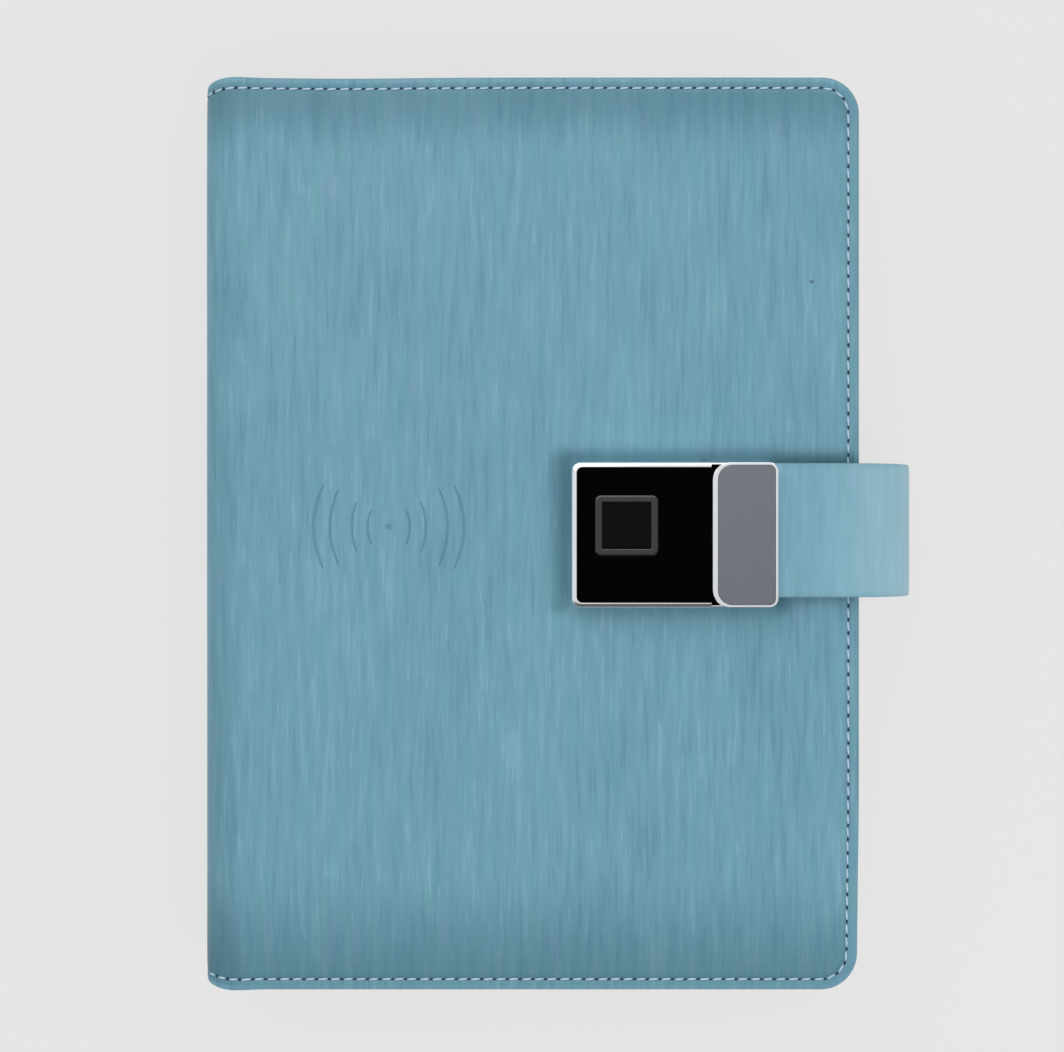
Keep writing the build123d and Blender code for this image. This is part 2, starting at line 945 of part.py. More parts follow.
def strap():
    """The strap: riser, flap and the two soft folds between its stiff lengths."""
    outer = arch_radius + strap_layer
    inner = arch_radius - strap_layer
    near = degrees(fold_inner / arch_radius)
    far = degrees(fold_outer / arch_radius)
    top = arch_top_angle - far
    bottom = arch_bottom_angle + far
    flap_angle = arch_top_angle + degrees((fold_inner + fold_gap) / arch_radius)
    flap = [
        (clasp_right - strap_in_clasp, strap_z),
        (clasp_right + strap_level, strap_z),
        arc_point(arch_radius, flap_angle),
    ]
    half = strap_layer / 2
    return {
        "riser_outer": arch_layer(arch_radius, outer, bottom, top),
        "riser_lining": arch_layer(inner, arch_radius, bottom, top),
        "strap_fold_upper": arch_layer(inner, outer, top, arch_top_angle + near),
        "strap_fold_lower": arch_layer(
            arch_radius - half, arch_radius + half, arch_bottom_angle - near, bottom
        ),
        "flap_outer": layer(flap, half, half),
        "flap_lining": layer(flap, half, -half),
    }


def clasp_room(inset):
    """The clasp frame's opening as x0, x1, y0, y1, moved in by an inset."""
    half = clasp_width / 2 - clasp_side - inset
    left = clasp_left + clasp_rim + inset
    right = clasp_right - clasp_right_rim - inset
    return (left, right, lock_y - half, lock_y + half)


def clasp_rivets():
    """The rivets that hold the strap's end to the clasp frame's floor."""
    x = clasp_right - clasp_rivet_inset
    top = lock_top - clasp_plate_drop - clasp_plate_thick
    first = strap_y - (clasp_rivet_count - 1) / 2 * clasp_rivet_pitch
    rows = [first + n * clasp_rivet_pitch for n in range(clasp_rivet_count)]
    return [peg(x, y, clasp_low, top, clasp_rivet_radius) for y in rows]


def clasp():
    """The metal clasp: bright frame, grey plate, catch block and rivets."""
    y0 = lock_y - clasp_width / 2
    y1 = lock_y + clasp_width / 2
    frame = rounded(clasp_left, clasp_right, y0, y1, clasp_low, lock_top, clasp_corner)
    frame = chamfer(frame.edges().group_by(Axis.Z)[-1], clasp_edge)
    inner_corner = clasp_corner - clasp_side
    frame -= rounded(*clasp_room(0), clasp_floor_top, lock_top, inner_corner)
    slot_x = clasp_right - strap_in_clasp - strap_slot_clearance
    slot_high = clasp_floor_top + 2 * strap_layer + strap_slot_clearance
    frame -= block(slot_x, clasp_right, y0, y1, clasp_floor_top, slot_high)
    catch_left = clasp_left + clasp_rim
    catch_right = catch_left + catch_length
    bolt_half = bolt_width / 2 + bolt_clearance
    bolt_tall = bolt_thick / 2 + bolt_clearance
    keep = (lock_y - bolt_half, lock_y + bolt_half, bolt_z - bolt_tall, bolt_z + bolt_tall)
    frame -= block(clasp_left, catch_right, *keep)
    plate_top = lock_top - clasp_plate_drop
    plate_low = plate_top - clasp_plate_thick
    plate = rounded(
        *clasp_room(clasp_plate_gap), plate_low, plate_top, inner_corner - clasp_plate_gap
    )
    half_catch = catch_width / 2
    catch = block(
        catch_left,
        catch_right,
        lock_y - half_catch,
        lock_y + half_catch,
        clasp_floor_top,
        plate_low,
    )
    catch -= block(catch_left, catch_right - catch_wall, *keep)
    return {
        "clasp_frame": frame - clasp_rivets(),
        "clasp_plate": plate,
        "clasp_catch": catch,
        "clasp_rivets": Compound(clasp_rivets()),
    }


def main():
    """Build every piece and write each to its own file."""
    pieces = {
        **back_cover(),
        **spine(),
        **front_cover(),
        **wireless_coil(),
        **power_bank(),
        "lock_housing": lock_body(),
        **lock_front(),
        **lock_works(),
        "lock_screws": lock_screws(),
        **ring_binder(),
        **paper(),
        **strap(),
        **clasp(),
    }
    for name in ("flap_outer", "flap_lining"):
        pieces[name] -= clasp_rivets()
    os.makedirs("parts", exist_ok=True)
    for name, piece in pieces.items():
        export_step(piece, f"parts/{name}.step")
    print(len(pieces), "pieces")


main()
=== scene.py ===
"""Looks for the ring-bound power bank notebook, dressed over its CAD frame. Metres throughout."""

import json
from math import cos, exp, pi, radians, sin, sqrt

import bmesh
import bpy
from mathutils import Matrix, Vector, noise


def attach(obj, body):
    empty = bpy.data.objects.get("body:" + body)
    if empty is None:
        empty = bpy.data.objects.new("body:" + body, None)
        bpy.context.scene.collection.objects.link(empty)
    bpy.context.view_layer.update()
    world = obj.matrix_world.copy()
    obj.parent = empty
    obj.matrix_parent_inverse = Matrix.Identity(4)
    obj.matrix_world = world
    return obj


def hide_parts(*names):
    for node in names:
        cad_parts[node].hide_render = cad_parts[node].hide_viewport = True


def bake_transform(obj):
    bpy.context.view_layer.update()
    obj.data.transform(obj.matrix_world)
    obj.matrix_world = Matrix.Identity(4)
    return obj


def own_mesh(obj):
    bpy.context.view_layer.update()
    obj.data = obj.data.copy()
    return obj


MM = 0.001

# The closed book, in millimetres
SPINE_X = -84.0
PANEL_X = -74.5
FORE_X = 84.0
HALF = 117.5
THICK = 34.0
CORNER = 9.5
EDGE = 1.6
SPINE_HALF = 7.5
SHOULDER = 9.5
SHOULDER_LENGTH = SHOULDER * pi / 2
PANEL_S = SPINE_HALF + SHOULDER_LENGTH
SEAM_INSET = 3.0
UNDER = 0.8


def smooth(low, high, value):
    """0 below low, 1 above high, and a soft step between."""
    k = min(max((value - low) / (high - low), 0.0), 1.0)
    return k * k * (3 - 2 * k)


def steps(*spans):
    """A rising list of places from (start, stop, count) spans that follow each other."""
    places = [spans[0][0]]
    for start, stop, count in spans:
        places += [start + (stop - start) * n / count for n in range(1, count + 1)]
    return places


# Materials


class Nodes:
    """Adds shader nodes to a tree, each with its inputs set or linked by name or number."""

    def __init__(self, tree):
        self.tree = tree

    def add(self, kind, inputs=None, **settings):
        node = self.tree.nodes.new("ShaderNode" + kind)
        for key, value in settings.items():
            setattr(node, key, value)
        for key, value in (inputs or {}).items():
            if isinstance(value, bpy.types.NodeSocket):
                self.tree.links.new(value, node.inputs[key])
            else:
                node.inputs[key].default_value = value
        return node

    def math(self, operation, *values, clamp=False):
        node = self.add("Math", dict(enumerate(values)), operation=operation, use_clamp=clamp)
        return node.outputs[0]

    def noise(self, vector, scale, detail=3.0, rough=0.55):
        inputs = {"Vector": vector, "Scale": scale, "Detail": detail, "Roughness": rough}
        return self.add("TexNoise", inputs).outputs["Fac"]

    def stretched(self, vector, x, y, z=1.0):
        return self.add("Mapping", {"Vector": vector, "Scale": (x, y, z)}).outputs[0]

    def ramp(self, value, low, high, to_low=0.0, to_high=1.0):
        inputs = {0: value, 1: low, 2: high, 3: to_low, 4: to_high}
        return self.add("MapRange", inputs, interpolation_type="SMOOTHSTEP").outputs[0]

    def mix(self, fac, a, b, blend="MIX"):
        node = self.add("Mix", {0: fac, 6: a, 7: b}, data_type="RGBA", blend_type=blend)
        return node.outputs[2]

    def bump(self, height, distance, strength=1.0):
        inputs = {"Height": height, "Distance": distance, "Strength": strength}
        return self.add("Bump", inputs).outputs[0]


def colour(red, green, blue):
    """A shader colour from display values of 0 to 255."""

    def linear(value):
        c = value / 255
        return c / 12.92 if c <= 0.04045 else ((c + 0.055) / 1.055) ** 2.4

    return (linear(red), linear(green), linear(blue), 1.0)


def group(name, inputs, outputs):
    """An empty shader node group, its builder and its two end nodes."""
    tree = bpy.data.node_groups.new(name, "ShaderNodeTree")
    for label, kind in inputs:
        tree.interface.new_socket(label, in_out="INPUT", socket_type="NodeSocket" + kind)
    for label, kind in outputs:
        tree.interface.new_socket(label, in_out="OUTPUT", socket_type="NodeSocket" + kind)
    source = tree.nodes.new("NodeGroupInput")
    sink = tree.nodes.new("NodeGroupOutput")
    return tree, Nodes(tree), source, sink


GROUPS = {}


def brushed_group():
    """Long fine streaks along V with broad drifts: a tone mask and a height mask."""
    tree, n, source, sink = group(
        "brushed_streaks", [("Vector", "Vector")], [("Tone", "Float"), ("Height", "Float")]
    )
    vector = source.outputs[0]
    fine = n.noise(n.stretched(vector, 1400, 100), 1.0, 3.0, 0.6)
    wide = n.noise(n.stretched(vector, 520, 42), 1.0, 3.0, 0.55)
    marks = n.noise(n.stretched(vector, 900, 95, 2.0), 1.0, 2.0, 0.5)
    drift = n.noise(n.stretched(vector, 30, 12), 1.0, 2.0, 0.5)
    streaks = n.math("ADD", n.math("MULTIPLY", fine, 0.3), n.math("MULTIPLY", wide, 0.5))
    streaks = n.math("ADD", streaks, n.ramp(marks, 0.6, 0.76, 0.0, 0.12))
    tone = n.math("ADD", streaks, n.math("MULTIPLY", drift, 0.2))
    tree.links.new(tone, sink.inputs["Tone"])
    height = n.math("ADD", n.math("MULTIPLY", fine, 0.7), n.math("MULTIPLY", wide, 0.3))
    tree.links.new(height, sink.inputs["Height"])
    return tree


def speckle_group():
    """Fine moulded or woven grain and a broad drift, from object coordinates."""
    tree, n, source, sink = group(
        "speckle", [("Vector", "Vector"), ("Scale", "Float")], [("Grain", "Float"), ("Drift", "Float")]
    )
    vector, scale = source.outputs[0], source.outputs[1]
    grain = n.noise(vector, scale, 4.0, 0.6)
    tree.links.new(grain, sink.inputs["Grain"])
    drift = n.noise(vector, n.math("MULTIPLY", scale, 0.006), 2.0, 0.5)
    tree.links.new(drift, sink.inputs["Drift"])
    return tree


def material(name):
    """A new material with a Principled shader, and the builder for the rest of it."""
    made = bpy.data.materials.new(name)
    made.use_nodes = True
    tree = made.node_tree
    shader = next(node for node in tree.nodes if node.type == "BSDF_PRINCIPLED")
    return made, Nodes(tree), shader


def wire_up(n, shader, **sockets):
    """Links sockets or sets values on the shader's own inputs."""
    for key, value in sockets.items():
        target = shader.inputs[key.replace("_", " ")]
        if isinstance(value, bpy.types.NodeSocket):
            n.tree.links.new(value, target)
        else:
            target.default_value = value


SIGN_ARCS = ((5.4, 4.4, 1.0, 0.75), (9.5, 6.4, 1.3, 0.8), (15.1, 9.7, 2.2, 0.9), (19.3, 10.8, 2.6, 1.1))


def pressed_sign(n, point):
    """Mask of the pressed charging sign: a dot with four shrinking arcs on either side."""
    parts = n.add("SeparateXYZ", {0: point}).outputs
    x = n.math("SUBTRACT", parts[0], -0.0370)
    y = n.math("SUBTRACT", parts[1], 0.00165)
    side = n.math("ABSOLUTE", x)
    up = n.math("ABSOLUTE", y)
    far = n.math("SQRT", n.math("ADD", n.math("MULTIPLY", x, x), n.math("MULTIPLY", y, y)))
    mask = n.ramp(far, 0.0005, 0.0012, 1.0, 0.0)
    for reach, half, sag, wide in SIGN_ARCS:
        bend = n.math("MULTIPLY", n.math("MULTIPLY", up, up), sag / half**2 * 1000)
        off = n.math("ABSOLUTE", n.math("SUBTRACT", n.math("ADD", side, bend), reach * MM))
        taper = n.ramp(up, half * 0.7 * MM, half * MM, wide / 2 * MM, 0.00016)
        line = n.math("SUBTRACT", 1.0, n.math("DIVIDE", off, taper), clamp=True)
        line = n.ramp(line, 0.0, 0.9)
        line = n.math("MULTIPLY", line, n.ramp(up, (half - 0.3) * MM, (half + 0.2) * MM, 1.0, 0.0))
        mask = n.math("MAXIMUM", mask, line)
    return mask


def leather(name, low, middle, high, painted_light, sign=False):
    """Brushed leather: streaky tone, fine grain, painted shade and highlight from its attributes, and darker
    strap sides.
    """
    made, n, shader = material(name)
    uv = n.add("UVMap", uv_map="UVMap").outputs[0]
    streaks = n.add("Group", {"Vector": uv}, node_tree=GROUPS["brushed"])
    tone = streaks.outputs["Tone"]
    shade = n.mix(n.ramp(tone, 0.36, 0.51), low, middle)
    shade = n.mix(n.ramp(tone, 0.5, 0.67), shade, high)
    hue = n.noise(n.stretched(uv, 200, 38), 1.0, 2.0)
    shade = n.mix(n.ramp(hue, 0.48, 0.7, 0.0, 0.5), shade, n.mix(0.5, shade, colour(104, 164, 170)))
    grey = n.noise(n.stretched(uv, 190, 36, 3.0), 1.0, 2.0)
    shade = n.mix(n.ramp(grey, 0.55, 0.75, 0.0, 0.5), shade, n.mix(0.5, shade, colour(128, 156, 186)))
    # The first attribute is painted light: painted shade in the covers' seam groove and edge strip, and a
    # painted highlight on the strap's bend.
    shade = n.mix(n.add("Attribute", attribute_name="painted_light").outputs["Fac"], shade, painted_light)
    # The rim attribute is painted shade on the covers (bands and contact shade) and a darker colour along the
    # strap's sides.
    rim = n.add("Attribute", attribute_name="rim").outputs["Fac"]
    shade = n.mix(rim, shade, colour(46, 96, 112))
    height = n.math("MULTIPLY", streaks.outputs["Height"], 1.0)
    pores = n.noise(n.stretched(uv, 2600, 1500), 1.0, 2.0)
    height = n.math("ADD", height, n.math("MULTIPLY", pores, 0.35))
    if sign:
        point = n.add("TexCoord").outputs["Object"]
        mask = pressed_sign(n, point)
        top = n.ramp(n.add("SeparateXYZ", {0: point}).outputs[2], 0.031, 0.032)
        mask = n.math("MULTIPLY", mask, top)
        shade = n.mix(n.math("MULTIPLY", mask, 0.7), shade, colour(84, 134, 152))
        spot = n.add("VectorMath", {0: point, 1: (0.0715, 0.0646, 0.033)}, operation="SUBTRACT").outputs[0]
        far = n.add("VectorMath", {0: n.stretched(spot, 1.0, 1.5, 0.02)}, operation="LENGTH").outputs["Value"]
        shade = n.mix(n.ramp(far, 0.0003, 0.0009, 0.7, 0.0), shade, colour(48, 78, 92))
        height = n.math("SUBTRACT", height, n.math("MULTIPLY", mask, 2.6))
    rough = n.ramp(tone, 0.3, 0.7, 0.5, 0.4)
    normal = n.bump(height, 0.00007)
    wire_up(n, shader, Base_Color=shade, Roughness=rough, Normal=normal)
    wire_up(n, shader, Specular_IOR_Level=0.4)
    return made


def plain(name, base, rough=0.5, metal=0.0, scale=1500.0, grain=0.00003, vary=0.06, **extra):
    """A solid-looking material with fine grain, slight drift in tone and worn roughness."""
    made, n, shader = material(name)
    point = n.add("TexCoord").outputs["Object"]
    speckle = n.add("Group", {"Vector": point, "Scale": scale}, node_tree=GROUPS["speckle"])
    darker = tuple(c * (1 - vary) for c in base[:3]) + (1.0,)
    mask = n.ramp(speckle.outputs["Drift"], 0.3, 0.7)
    shade = n.mix(mask, darker, base)
    wear = n.ramp(speckle.outputs["Drift"], 0.35, 0.75, rough * 0.95, min(rough * 1.06, 1.0))
    normal = n.bump(speckle.outputs["Grain"], grain)
    wire_up(n, shader, Base_Color=shade, Roughness=wear, Normal=normal, Metallic=metal, **extra)
    return made


def brushed_metal(name, base, rough, along):
    """Metal with fine lines; along says how the object coordinates are stretched."""
    made, n, shader = material(name)
    point = n.add("TexCoord").outputs["Object"]
    lines = n.noise(n.stretched(point, *along), 1.0, 4.0, 0.7)
    drift = n.noise(point, 60.0, 2.0)
    shade = n.mix(n.ramp(lines, 0.3, 0.7), tuple(c * 0.9 for c in base[:3]) + (1.0,), base)
    wear = n.math("ADD", rough, n.math("MULTIPLY", n.math("SUBTRACT", drift, 0.5), 0.12))
    wire_up(n, shader, Base_Color=shade, Roughness=wear, Normal=n.bump(lines, 0.000008))
    wire_up(n, shader, Metallic=1.0)
    return made


def ruled_paper():
    """Uncoated paper with pale ruled lines on its upper face, and sheet edges at its sides with painted shade
    between the leaves.
    """
    made, n, shader = material("paper_sheets")
    point = n.add("TexCoord").outputs["Object"]
    x, y = n.add("SeparateXYZ", {0: point}).outputs[:2]
    row = n.math("FRACT", n.math("MULTIPLY", y, 1 / 0.007))
    line = n.ramp(n.math("ABSOLUTE", n.math("SUBTRACT", row, 0.5)), 0.012, 0.03, 1.0, 0.0)
    facing = n.add("SeparateXYZ", {0: n.add("NewGeometry").outputs["Normal"]}).outputs[2]
    upper = n.ramp(n.math("ABSOLUTE", facing), 0.9, 0.95)
    past_margin = n.ramp(x, -0.049, -0.0488)
    off_ends = n.ramp(n.math("ABSOLUTE", y), 0.092, 0.0922, 1.0, 0.0)
    inside = n.math("MULTIPLY", past_margin, off_ends)
    line = n.math("MULTIPLY", n.math("MULTIPLY", line, upper), inside)
    # Darker lines between the leaves on the block's sides: painted shade.
    leaf = n.noise(n.stretched(point, 30, 30, 9000), 1.0, 1.0)
    side = n.math("SUBTRACT", 1.0, upper)
    between = n.ramp(leaf, 0.35, 0.65, 1.0, 0.0)
    shaded = n.math("MULTIPLY", between, n.math("MULTIPLY", side, 0.35))
    base = n.mix(shaded, colour(242, 239, 228), colour(176, 172, 160))
    base = n.mix(n.math("MULTIPLY", line, 0.6), base, colour(140, 160, 178))
    fibre = n.noise(point, 2500.0, 4.0)
    wire_up(n, shader, Base_Color=base, Roughness=0.85, Normal=n.bump(fibre, 0.00002))
    return made


def make_materials():
    """Every material, under its slot's name."""
    GROUPS["brushed"] = brushed_group()
    GROUPS["speckle"] = speckle_group()
    cover_tones = (colour(95, 145, 164), colour(107, 157, 176), colour(123, 171, 189))
    strap_tones = (colour(111, 160, 179), colour(120, 168, 186), colour(132, 178, 196))
    # The fourth colour is painted light: painted seam shade on the covers, and a painted highlight on the
    # strap's bend.
    cover = leather("cover_leather", *cover_tones, colour(66, 100, 116), True)
    strap = leather("strap_leather", *strap_tones, colour(190, 226, 240))
    metal_x = (300, 4000, 4000)
    return {
        "cover_leather": cover,
        "strap_leather": strap,
        "stiff_board": plain("stiff_board", colour(168, 160, 146), 0.85, scale=900),
        "pad_foam": plain("pad_foam", colour(222, 220, 212), 0.9, scale=2500, grain=0.0001),
        "lining_cloth": plain("lining_cloth", colour(88, 122, 138), 0.7, scale=3200, grain=0.00006),
        "bright_metal": plain(
            "bright_metal", colour(240, 242, 246),
            0.1, 1.0, scale=400, grain=0.000004, vary=0.05,
        ),
        "spring_steel": brushed_metal("spring_steel", colour(176, 178, 182), 0.32, metal_x),
        "dark_steel": brushed_metal("dark_steel", colour(52, 53, 56), 0.45, metal_x),
        "grey_plate": brushed_metal("grey_plate", colour(131, 134, 141), 0.5, (5000, 400, 400)),
        "black_glass": plain(
            "black_glass", colour(3, 3, 3),
            0.12, scale=200, grain=0.000001, Specular_IOR_Level=0.01,
        ),
        "sensor_metal": plain("sensor_metal", colour(70, 68, 71), 0.2, 0.9, scale=2600, grain=0.000004),
        "case_plastic": plain("case_plastic", colour(48, 62, 70), 0.55, scale=3000, grain=0.00004),
        "button_plastic": plain("button_plastic", colour(86, 96, 104), 0.42, scale=3000, grain=0.00002),
        "light_plastic": plain(
            "light_plastic", colour(226, 232, 236),
            0.35, scale=1200, Transmission_Weight=0.3,
        ),
        "cell_foil": plain("cell_foil", colour(186, 190, 196), 0.38, 0.9, scale=700, grain=0.00006),
        "circuit": plain("circuit", colour(26, 92, 62), 0.45, scale=900),
        "copper_winding": brushed_metal("copper_winding", colour(196, 122, 78), 0.35, (2500, 2500, 300)),
        "ferrite": plain("ferrite", colour(52, 52, 54), 0.7, scale=1800),
        "paper_sheets": ruled_paper(),
        "divider_plastic": plain(
            "divider_plastic", colour(226, 232, 236),
            0.45, scale=1500, Transmission_Weight=0.35, Alpha=0.5,
        ),
        "thread": plain("thread", colour(192, 218, 234), 0.75, scale=5200, grain=0.00008),
        # Dark discs of painted shade at the needle holes.
        "painted_hole_shade": plain("painted_hole_shade", colour(34, 60, 78), 0.9, scale=2000),
        "window_glass": plain(
            "window_glass", colour(16, 16, 16),
            0.3, scale=4000, grain=0.000002, Specular_IOR_Level=0.02,
        ),
    }



# Mesh helpers


def finish_mesh(bm, name, smooth_shade=True, slot=None, finish=None):
    """Turns a bmesh into an object with one material."""
    bmesh.ops.recalc_face_normals(bm, faces=bm.faces)
    mesh = bpy.data.meshes.new(name)
    bm.to_mesh(mesh)
    bm.free()
    obj = bpy.data.objects.new(name, mesh)
    bpy.context.scene.collection.objects.link(obj)
    if smooth_shade:
        for face in mesh.polygons:
            face.use_smooth = True
    mesh.materials.append(MATERIALS[finish or slot])
    return obj


def sheet_mesh(name, us, vs, place, slot, weld=0.0):
    """A grid over two lists of places, each corner put in place by a function.

    place(u, v) gives the point in millimetres, the strength of its painted light, and its rim strength, which
    is painted shade on the covers and darker sides on the strap.
    """
    bm = bmesh.new()
    bmesh.ops.create_grid(bm, x_segments=len(us) - 1, y_segments=len(vs) - 1, size=0.5)
    uv = bm.loops.layers.uv.new("UVMap")
    painted_light = bm.verts.layers.float.new("painted_light")
    rim = bm.verts.layers.float.new("rim")
    flat = {}
    for vert in bm.verts:
        u = us[round((vert.co.x + 0.5) * (len(us) - 1))]
        v = vs[round((vert.co.y + 0.5) * (len(vs) - 1))]
        flat[vert] = (u, v)
        point, vert[painted_light], vert[rim] = place(u, v)
        vert.co = Vector(point) * MM
    for face in bm.faces:
        for loop in face.loops:
            u, v = flat[loop.vert]
            loop[uv].uv = (u * MM, v * MM)
    if weld:
        bmesh.ops.remove_doubles(bm, verts=bm.verts, dist=weld * MM)
    return finish_mesh(bm, name, True, slot)


def box_bm(x0, x1, y0, y1, z0, z1):
    """A bmesh box between two corners, in metres from millimetres."""
    bm = bmesh.new()
    size = Matrix.Diagonal(((x1 - x0) * MM, (y1 - y0) * MM, (z1 - z0) * MM, 1.0))
    place = Matrix.Translation(Vector(((x0 + x1) / 2, (y0 + y1) / 2, (z0 + z1) / 2)) * MM)
    bmesh.ops.create_cube(bm, size=1.0, matrix=place @ size)
    return bm


def edges_where(bm, test):
    """Edges whose two ends both pass a test on their place in millimetres."""
    return [e for e in bm.edges if all(test(v.co / MM) for v in e.verts)]


def bevel(bm, edges, amount, segments=4):
    """Rounds edges by an amount in millimetres."""
    bmesh.ops.bevel(
        bm, geom=edges, offset=amount * MM, segments=segments, profile=0.5,
        affect="EDGES", clamp_overlap=True, material=-1,
    )


def upright(bm, test):
    """The upright edges, as far as a test on their X allows."""
    return [
        e for e in bm.edges
        if abs(e.verts[0].co.z - e.verts[1].co.z) > 0.1 * MM
        and abs(e.verts[0].co.x - e.verts[1].co.x) < 1e-7
        and abs(e.verts[0].co.y - e.verts[1].co.y) < 1e-7
        and test(e.verts[0].co.x / MM)
    ]


def level_edges(bm, z):
    """The edges that lie at one height."""
    return edges_where(bm, lambda p: abs(p.z - z) < 0.002)


def plate_bm(x0, x1, y0, y1, z0, z1, left, right, edge, segments=8):
    """A plate with rounded upright corners, left and right, and a softened upper edge."""
    bm = box_bm(x0, x1, y0, y1, z0, z1)
    middle = (x0 + x1) / 2
    if left:
        bevel(bm, upright(bm, lambda x: x < middle), left, segments)
    if right:
        bevel(bm, upright(bm, lambda x: x > middle), right, segments)
    if edge:
        rim = [e for e in level_edges(bm, z1) if len(e.link_faces) == 2]
        bevel(bm, rim, edge, 3)
    return bm


def frame_bm(outer, opening, z0, z1, corners, edges):
    """A plate with a rounded opening sunk through it.

    corners are its left and right radii and the opening's; edges soften outer and inner rim.
    """
    bm = plate_bm(*outer, z0, z1, *corners[:2], 0)
    hole = plate_bm(*opening, z0 - 1, z1 + 1, *corners[2:], 0)
    body = bpy.data.meshes.new("body")
    cutter = bpy.data.meshes.new("cutter")
    bm.to_mesh(body)
    hole.to_mesh(cutter)
    bm.free()
    hole.free()

    def outside(p):
        left, right, near, far = opening
        within_x = left - 0.05 < p.x < right + 0.05
        return not (within_x and near - 0.05 < p.y < far + 0.05)

    def soften(made):
        for amount, wanted in zip(edges, (True, False)):
            rim = [
                e for e in level_edges(made, z1)
                if e.calc_face_angle(0) > 0.5 and all(outside(v.co / MM) for v in e.verts) == wanted
            ]
            bevel(made, rim, amount, 4)

    return cut(body, cutter, soften)


def cut(body, cutter, then):
    """Cuts one closed mesh out of another, and gives the result as a bmesh."""
    objects = []
    for mesh in (body, cutter):
        obj = bpy.data.objects.new(mesh.name, mesh)
        bpy.context.scene.collection.objects.link(obj)
        objects.append(obj)
    modifier = objects[0].modifiers.new("cut", "BOOLEAN")
    modifier.operation = "DIFFERENCE"
    modifier.solver = "EXACT"
    modifier.object = objects[1]
    bpy.context.view_layer.update()
    made = objects[0].evaluated_get(bpy.context.evaluated_depsgraph_get())
    bm = bmesh.new()
    bm.from_mesh(made.to_mesh())
    made.to_mesh_clear()
    for obj in objects:
        mesh = obj.data
        bpy.data.objects.remove(obj)
        bpy.data.meshes.remove(mesh)
    then(bm)
    return bm


# The leather covers


def section(s):
    """The front cover's section at a length from the spine's middle: X, Z and outward normal."""
    if s < SPINE_HALF:
        return SPINE_X, THICK / 2 + s, -1.0, 0.0
    if s < PANEL_S:
        turn = (s - SPINE_HALF) / SHOULDER
        fullness = 0.86
        x = PANEL_X - SHOULDER * cos(turn) ** fullness if turn < pi / 2 else PANEL_X
        z = THICK - SHOULDER + SHOULDER * sin(turn) ** fullness
        return x, z, -cos(turn), sin(turn)
    return PANEL_X + s - PANEL_S, THICK, 0.0, 1.0


def edge_profile(e, depth):
    """Round a cover's edge: inset from the outline and depth below the face."""
    straight = depth - EDGE - UNDER
    if e <= 0:
        return EDGE - e, 0.0
    if e < EDGE * pi / 2:
        turn = e / EDGE
        return EDGE - EDGE * sin(turn), EDGE - EDGE * cos(turn)
    e -= EDGE * pi / 2
    if e < straight:
        return 0.0, EDGE + e
    e -= straight
    if e < UNDER * pi / 2:
        turn = e / UNDER
        return UNDER - UNDER * cos(turn), depth - UNDER + UNDER * sin(turn)
    return UNDER + e - UNDER * pi / 2, depth


def shade_at(x, t, distance, front):
    """How much painted shade the leather gets at one place: bands along head and foot, a band by the spine,
    and contact shade next to the lock and strap.
    """
    top_band = 0.46 * (1 - smooth(4, 21, HALF - t))
    foot_band = 0.48 * (1 - smooth(3.5, 33, HALF + t))
    inside = 0.35 + 0.65 * smooth(2.8, 3.6, distance)
    side_band = 0.1 * (1 - smooth(4, 12, x - SPINE_X)) * (1 + 1.2 * smooth(0, 50, -t))
    dark = max(top_band, foot_band) * inside + side_band
    if front:
        dark = max(dark, contact(x, t, LOCK_BOX, (8.0, 0.6), (5.2, 0.65), (4.0, 0.2)))
        dark = max(dark, contact(x, t, STRAP_BOX, (4.0, 0.6), (4.4, 0.65), (2.5, 0.2)))
    return dark


def contact(x, y, box, sides, above, below):
    """Painted contact shade next to a box seen from above, from the (reach, strength) on its sides."""
    x0, x1, y0, y1 = box
    reach_y, dark_y = above if y > (y0 + y1) / 2 else below
    dx = max(x0 - x, x - x1, 0) / sides[0]
    dy = max(y0 - y, y - y1, 0) / reach_y
    away = dx * dx + dy * dy
    if not away:
        return dark_y
    dark = (sides[1] * dx * dx + dark_y * dy * dy) / away
    return dark * (1 - smooth(0.2, 1.0, sqrt(away)))


LOCK_BOX = (9.6, 61.6, -18.85, 18.15)
STRAP_BOX = (61.0, 90.0, -16.2, 17.9)


